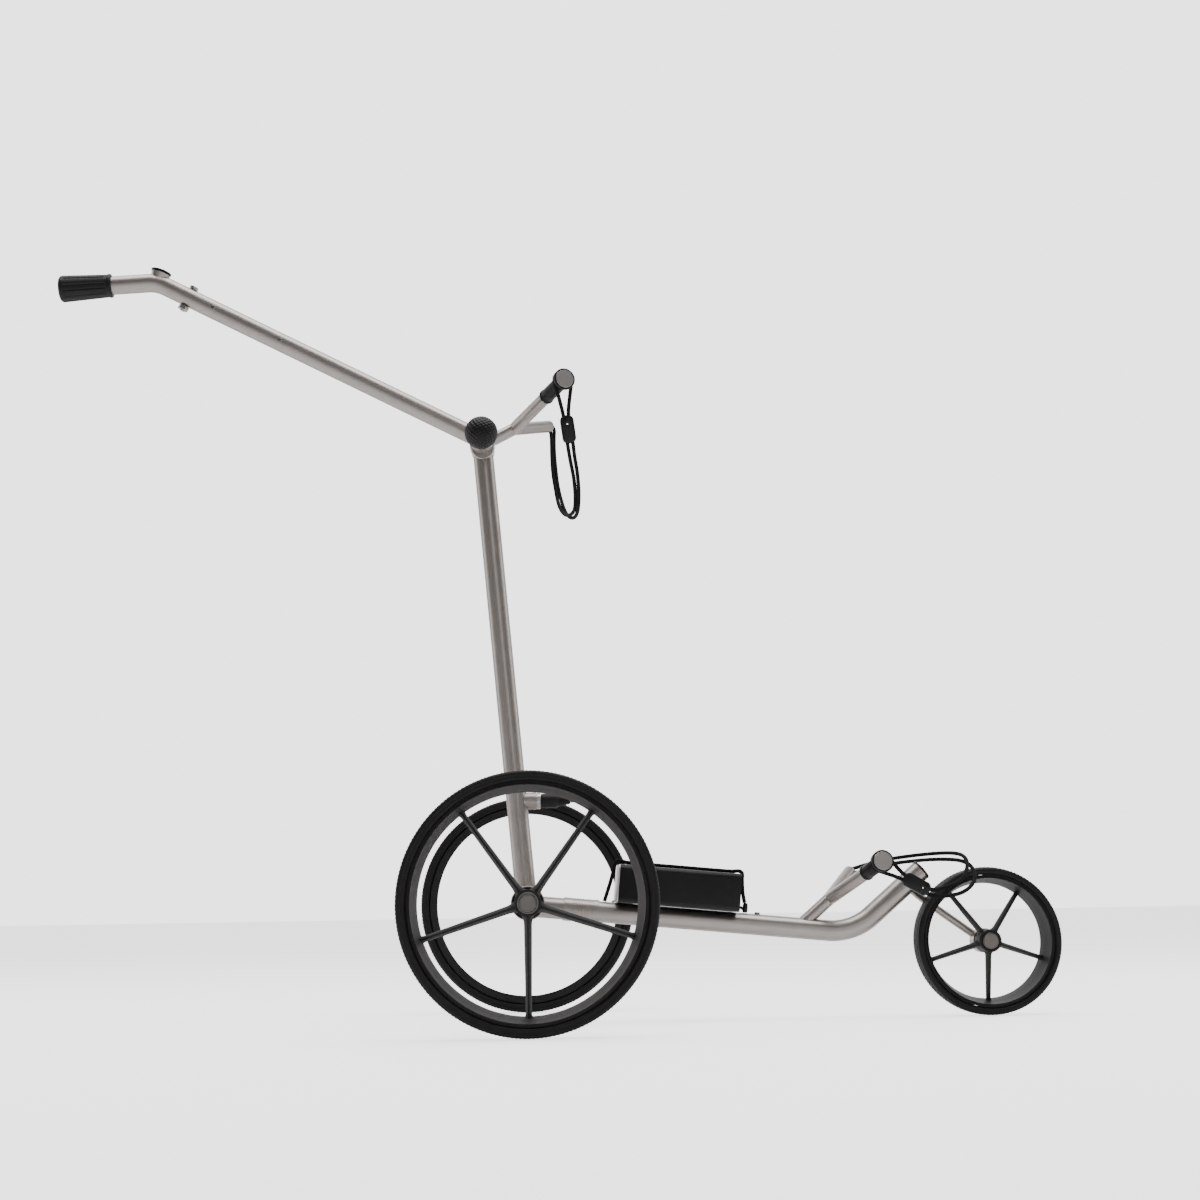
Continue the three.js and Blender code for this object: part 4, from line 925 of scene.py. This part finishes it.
# ---- handle
def handle():
    """Handle tube, grip, control board, bolts, screws and speed dial."""
    end = HANDLE_CORNER + GRIP_WAY * GRIP_TUBE
    route = rounded(HANDLE_ROOT + HANDLE_WAY * 9, HANDLE_CORNER, end, radius=46, steps=20)
    bore = HANDLE_RADIUS - WALL
    tube = sweep(route, HANDLE_RADIUS, bore, 64)
    barrel = bar(PIVOT - LEFT * (HEAD_HALF + TUBE_ROOM), PIVOT - LEFT * BARREL_END, BARREL_RADIUS, 72, 0.8)
    stub = lathe([(0, 4), (10.4, 4), (12.4, 12.6), (12, 12.8), (0, 12.8)], HANDLE_CORNER, DIAL_UP, 64)
    stub = cut(stub, [sweep(route, bore, 0, 40)])
    body = combined(tube, [barrel, stub])
    accessory = HANDLE_ROOT + HANDLE_WAY * ACCESSORY_ALONG
    screws = {name: HANDLE_ROOT + HANDLE_WAY * along for name, along in SCREWS_ALONG.items()}
    cuts = [bar(PIVOT - LEFT * 10, PIVOT - LEFT * 50, BOLT_BORE),
            bar(HANDLE_CORNER, HANDLE_CORNER + DIAL_UP * 20, 7),
            bar(accessory - HANDLE_UP * 20, accessory + HANDLE_UP * 20, 3.3, 32)]
    cuts += [bar(place - LEFT * 20, place - LEFT * 8, 2.4, 32) for place in screws.values()]
    mesh_piece("handle_tube", cut(body, cuts), smooth_angle=38)

    inner = HANDLE_RADIUS + TUBE_ROOM
    profile = [(0, 50), (inner, 50), (inner, 0), (14.0, 0), (15.2, 0.6), (15.6, 1.6), (15.6, 3.8),
               (15.2, 4.6), (14.7, 5.2)]
    fluted = len(profile)
    profile += [(15.0 + 2.55 * t / 30, 6.5 + 57 * t / 30) for t in range(31)]
    smooth_from = len(profile)
    for k in range(1, 9):
        angle = math.pi / 2 * k / 8
        profile.append((17.5 - 5.5 * (1 - math.cos(angle)), 63.5 + 5 * math.sin(angle)))
    profile.append((0, 68.5))
    sides = 192

    def flutes(i, j, radius):
        if fluted <= i < smooth_from:
            fade = min(1, (i - fluted + 1) / 3, (smooth_from - i) / 3)
            return radius - 0.8 * fade * max(0, math.cos(GRIP_FLUTES * 2 * math.pi * j / sides)) ** 6
        return radius

    start = HANDLE_CORNER + GRIP_WAY * GRIP_FROM
    mesh_piece("grip", lathe(profile, start, GRIP_WAY, sides, flutes), smooth_angle=40)

    board = HANDLE_ROOT + HANDLE_WAY * BOARD_ALONG
    turn = Matrix((HANDLE_WAY, -LEFT, HANDLE_UP)).transposed().to_4x4()
    mesh_piece("control_board", box_shape(118, 16, 4), bevel=0.4, matrix=Matrix.Translation(board) @ turn)

    head = lathe([(0, 12.5), (5.4, 12.5), (5.8, 12.9), (5.8, 16), (5.3, 16.5), (3, 16.5), (2.6, 15.2),
                  (0, 15.2)], accessory, HANDLE_UP, 48)
    shank = bar(accessory - HANDLE_UP * 20, accessory + HANDLE_UP * 13, 3, 32, 0.5)
    mesh_piece("accessory_bolt", combined(head, [shank]))
    nut = lathe([(3.3, -18.5), (6.4, -18.5), (7, -18.1), (7, -13), (6.4, -12.6), (3.3, -12.6)], accessory,
                HANDLE_UP, 6)
    mesh_piece("accessory_nut", nut, smooth_angle=20)
    slots = [box_shape(3.6, 3, 0.8), box_shape(0.8, 3, 3.6)]
    for name, place in screws.items():
        screw = lathe([(0, 9.2), (2, 9.2), (2, 12.2), (3.1, 12.2), (3.1, 12.7), (2.6, 13.3), (1.4, 13.6),
                       (0, 13.7)], place, -LEFT, 40)
        turn = Matrix.Translation(place - LEFT * 14) @ Matrix.Rotation(math.radians(20), 4, "Y")
        screw = cut(screw, [slot.moved(turn) for slot in slots])
        mesh_piece(name, screw, smooth_angle=30, look="motor_steel")

    shaft = [(0, 6), (6.4, 6), (6.4, 10), (3, 10), (3, 14.6), (0, 14.6)]
    mesh_piece("dial_shaft", lathe(shaft, HANDLE_CORNER, DIAL_UP, 40))
    dial = [(0, 14.9), (3.3, 14.9), (3.3, 13.9), (12.4, 13.9), (13.1, 14.2), (13.4, 14.8), (13.4, 15.5),
            (13.1, 16.1), (12.4, 16.3), (9.5, 16.4), (9.1, 16.15), (0, 16.15)]

    def knurl(i, j, radius):
        return radius - (0.28 if 4 <= i <= 7 and j % 4 < 2 else 0)

    mesh_piece("speed_dial", lathe(dial, HANDLE_CORNER, DIAL_UP, 176, knurl))


def golf_ball(radius, count=332, dimple=1.85, depth=0.7):
    """A ball with dimples spread evenly over it."""
    centres = []
    golden = math.pi * (3 - math.sqrt(5))
    for i in range(count):
        z = 1 - 2 * (i + 0.5) / count
        ring = math.sqrt(1 - z * z)
        centres.append((ring * math.cos(golden * i), ring * math.sin(golden * i), z))
    centres = np.array(centres)
    mesh = bpy.data.meshes.new("ball")
    made = bmesh.new()
    bmesh.ops.create_icosphere(made, subdivisions=6, radius=1)
    made.to_mesh(mesh)
    made.free()
    points = np.array([v.co for v in mesh.vertices])
    points /= np.linalg.norm(points, axis=1)[:, None]
    nearest = np.arccos(np.clip((points @ centres.T).max(axis=1), -1, 1)) * radius
    inside = np.clip(1 - (nearest / dimple) ** 2, 0, 1)
    sink = depth * np.minimum(1, inside * 1.5)
    return Shape(points * (radius - sink)[:, None], [list(p.vertices) for p in mesh.polygons])


def clamp():
    ball = golf_ball(BALL_RADIUS).moved(Matrix.Translation(PIVOT - LEFT * BALL_ASIDE))
    bore = bar(PIVOT - LEFT * 40, PIVOT - LEFT * 62, 7.4, 48)
    mesh_piece("clamp_knob", cut(ball, [bore]), smooth_angle=60)
    mesh_piece("knob_insert", pipe(PIVOT - LEFT * 44.6, PIVOT - LEFT * 61.5, 7.1, 5.4, 48))
    bolt = [(0, 20.5), (6.6, 20.5), (8.2, 19.8), (9, 18.5), (9, 14.2), (5, 14.2), (5, -59.4), (4.4, -60),
            (0, -60)]
    mesh_piece("clamp_bolt", lathe(bolt, PIVOT, LEFT, 64))


def socket_and_plug():
    """Socket on the post and the plug in it. Returns the plug."""
    post_cut = bar(PIVOT - POST_UP * 520, PIVOT - POST_UP * 420, POST_RADIUS + TUBE_ROOM, 64)
    housing = pipe((-10, 0, SOCKET_Z), (12.6, 0, SOCKET_Z), 11, 9.4, 64)
    mesh_piece("socket_housing", cut(housing, [post_cut]))
    ring = [(7.4, 5.5), (9.1, 5.5), (9.1, 12.9), (10.3, 12.9), (10.6, 13.2), (10.6, 17.4), (10.2, 17.8),
            (7.4, 17.8)]
    place = Vector((0, 0, SOCKET_Z))
    mesh_piece("power_socket", lathe(ring, place, (1, 0, 0), 64))
    profile = [(0, 8), (6.2, 8), (6.2, 18.4), (8.6, 18.4), (9.2, 19), (9.3, 20), (9.3, 38.8), (9, 39.8),
               (8.3, 40.4), (7.5, 40.8)]
    for k in range(5):
        x, r = 41.2 + k * 3, 7.5 - k * 0.62
        profile += [(r, x), (r, x + 1.5), (r - 0.8, x + 1.8), (r - 0.8, x + 2.6)]
    profile += [(3.6, 56.3), (3.3, 56.5), (0, 56.5)]
    return mesh_piece("plug", lathe(profile, place, (1, 0, 0), 64))


# ---- lower tube and front arm
def lower_tube():
    shoulder = SPIGOT_SHOULDER
    spigot = lathe([(9.6, 8), (13.5, 8), (13.5, shoulder), (11.2, shoulder + 0.1), (11.2, 148), (10.4, 150),
                    (9.6, 150)], direction=(1, 0, 0), sides=72)
    axle = bar((0, -40, 2.6), (0, 40, 2.6), AXLE_RADIUS + TUBE_ROOM, 72)
    mesh_piece("spigot_tube", cut(spigot, [axle]), matrix=FRONT)
    profile = [(13.8, 45.6), (14.5, 45.6), (14.8, 45.9)]
    for k in range(8):
        x = 56.4 + 3.7 * k
        profile += [(14.8, x), (14.15, x + 0.2), (14.15, x + 1.3), (14.8, x + 1.5)]
    profile += [(14.8, 90.1), (14.5, 90.4), (13.8, 90.4)]
    mesh_piece("locking_sleeve", lathe(profile, direction=(1, 0, 0), sides=96), matrix=FRONT)

    route = rounded((shoulder + 0.6, 0, 0), NOSE_CORNER, NOSE_END, radius=76, steps=28)
    tube = sweep(route, TUBE_RADIUS, TUBE_RADIUS - WALL, 72)
    strap_foot = Vector((BATTERY_STRAP[0][0], 0, 0))
    holes = [bar(strap_foot + UP * 4, strap_foot + UP * 20, CORD_RADIUS + LOOP_ROOM, 32),
             bar(HOOK + UP * 4, HOOK + UP * 20, 2.4, 32)]
    mesh_piece("lower_tube", cut(tube, holes), matrix=FRONT)
    cap = [(0, -12), (11.2, -12), (11.2, 0.3), (13, 0.3), (13.5, 0.8), (13.5, 2.2), (12.9, 3.1), (12, 3.4),
           (9, 3.4), (8.6, 3.0), (0, 3.0)]
    mesh_piece("tube_end_plug", lathe(cap, NOSE_END, NOSE_WAY, 72), matrix=FRONT)

    boss = pipe(FRONT_HUB + LEFT * 10, FRONT_HUB + LEFT * 33, 15.4, BOLT_BORE, 72)
    path = smooth([(479, 9, 69.5), (490, 17, 63.5), (503, 25.5, 55.5), (520, 28, 45.2), (555, 28, 24.6),
                   FRONT_HUB + LEFT * 28], 4)
    bore = bar(FRONT_HUB, FRONT_HUB + LEFT * 50, BOLT_BORE, 48)
    nose = bar(NOSE_CORNER, NOSE_END + NOSE_WAY * 20, TUBE_RADIUS + TUBE_ROOM, 72)
    rod = cut(sweep(path, 5, 0, 40), [bore])
    rod = cut(rod, [nose])
    mesh_piece("front_arm", combined(boss, [rod]), matrix=FRONT, smooth_angle=35)
    bolt = [(0, -14), (5, -14), (5, 33.4), (8.1, 33.4), (8.5, 33.8), (8.5, 37), (7, 38.4), (0, 38.4)]
    mesh_piece("front_axle", lathe(bolt, FRONT_HUB, LEFT, 48), matrix=FRONT)


# ---- battery
def battery_block(low_x, high_x, inset):
    """A block along the battery, inside its outline by the inset."""
    outline = rounded_outline(BATTERY_HALF - inset, BATTERY_LOW + inset, BATTERY_HIGH - inset,
                              BATTERY_CORNER - inset)
    return stacked([[(x, y, z) for y, z in outline] for x in (low_x, high_x)])


BATTERY_STRAP = [
    (97.2, 0, 13.7), (98.6, 0, 20), (101.4, 0, 32), (104.4, 0, 46), (106.2, 0, 57), (106.7, 0, 62.4),
    (108.6, 0, 65.6), (113, 0, 66), (124, 0, 64.8), (150, 0, 64.5), (190, 0, 64.5), (230, 0, 64.5),
    (258, 0, 64.8), (266.8, 0, 65.8), (270.6, 0, 63.6), (271.2, 0, 58), (272, 0, 48), (273.8, 0, 36),
    (276.4, 0, 26.2),
]
BATTERY_LEAD = [
    (150.9, -18, 53.7), (151.4, -18, 60), (150.4, -17.6, 68), (146.5, -16.6, 77.5), (140, -15, 87),
    (131, -13, 96), (120, -10.6, 104.5), (107.5, -7.8, 112.5), (94, -4.6, 119.5), (80, -1.8, 125.2),
    (68, -0.3, 129), (61, 0, 130), (56.8, 0, 130.2),
]


def battery(plug):
    """Battery with its cells, gland, strap, hook, studs and lead to the plug."""
    rear, front = BATTERY_REAR, BATTERY_FRONT
    saddle = bar((50, 0, 0), (300, 0, 0), TUBE_RADIUS + TUBE_ROOM, 72)
    lead_hole = bar(GLAND + UP * 50, GLAND + UP * 70, 3, 32)
    hollow = battery_block(rear - 1, front - 3, 3)
    case = cut(battery_block(rear, front, 0), [hollow, lead_hole, saddle])
    mesh_piece("battery_case", case, bevel=0.9, matrix=FRONT)
    plate = cut(battery_block(rear - 2.3, rear - 0.3, 0.4), [saddle])
    mesh_piece("battery_end_plate", plate, bevel=0.5, matrix=FRONT)
    middle = Matrix.Translation(((rear + front) / 2, 0, (BATTERY_HIGH + BATTERY_LOW) / 2 - 1))
    cells = box_shape(front - rear - 16, 78, BATTERY_HIGH - BATTERY_LOW - 16)
    mesh_piece("battery_cells", cells, bevel=1, matrix=FRONT @ middle)
    for name, along, reach in (("battery_stud_rear", 108.4, 1.9), ("battery_stud_front", 293.4, 3.5)):
        profile = [(0, 8), (reach, 8), (reach, 14.8), (reach * 0.85, 15.5), (reach * 0.5, 15.8), (0, 15.8)]
        stud = lathe(profile, (along, 0, 0), UP, 40)
        mesh_piece(name, cut(stud, [saddle]), matrix=FRONT)
    gland = lathe([(0, 61.8), (6, 61.8), (6.2, 62.1), (6.2, 64.8), (5.6, 65.4), (4.4, 66), (4, 69.8),
                   (3.6, 70.2), (0, 70.2)], GLAND, UP, 48)
    mesh_piece("lead_gland", gland, matrix=FRONT)

    def twist(i, angle):
        return 0.94 + 0.06 * abs(math.cos(angle + i * 0.42))

    route = smooth(BATTERY_STRAP, 1.0)
    shape = sweep(route, CORD_RADIUS, 0, 20, twist)
    declared_cord("battery_strap", shape, matrix=FRONT)
    hook = lathe([(0, 13.8), (2, 13.8), (3, 14.4), (3.4, 16), (3.4, 20), (3.2, 24), (2.6, 25.6),
                  (1.6, 26.2), (0, 26.3)], HOOK, UP, 40)
    barb = bar(HOOK + UP * 17, (270.8, 0, 20.6), 1.9, 32, 0.6)
    mesh_piece("strap_hook", combined(hook, [barb]), matrix=FRONT)

    route = smooth(BATTERY_LEAD, 1.5)
    shape = sweep(route, CORD_RADIUS, 0, 24)
    bend = ("front_section", "plug", TO_FRAME @ LEAD_HELD, TO_FRAME @ LEAD_PULLED)
    declared_cord("battery_lead", shape, bend=bend)


# ---- the whole trolley
add_camera()
upper_bracket()
lower_bracket()
battery(socket_and_plug())
axle_and_post()
lower_tube()
handle()
clamp()
rear_wheel("right", -1)
rear_wheel("left", 1)
front_wheel()
add_world()
for light in LIGHTS:
    add_light(*light)
add_floor()
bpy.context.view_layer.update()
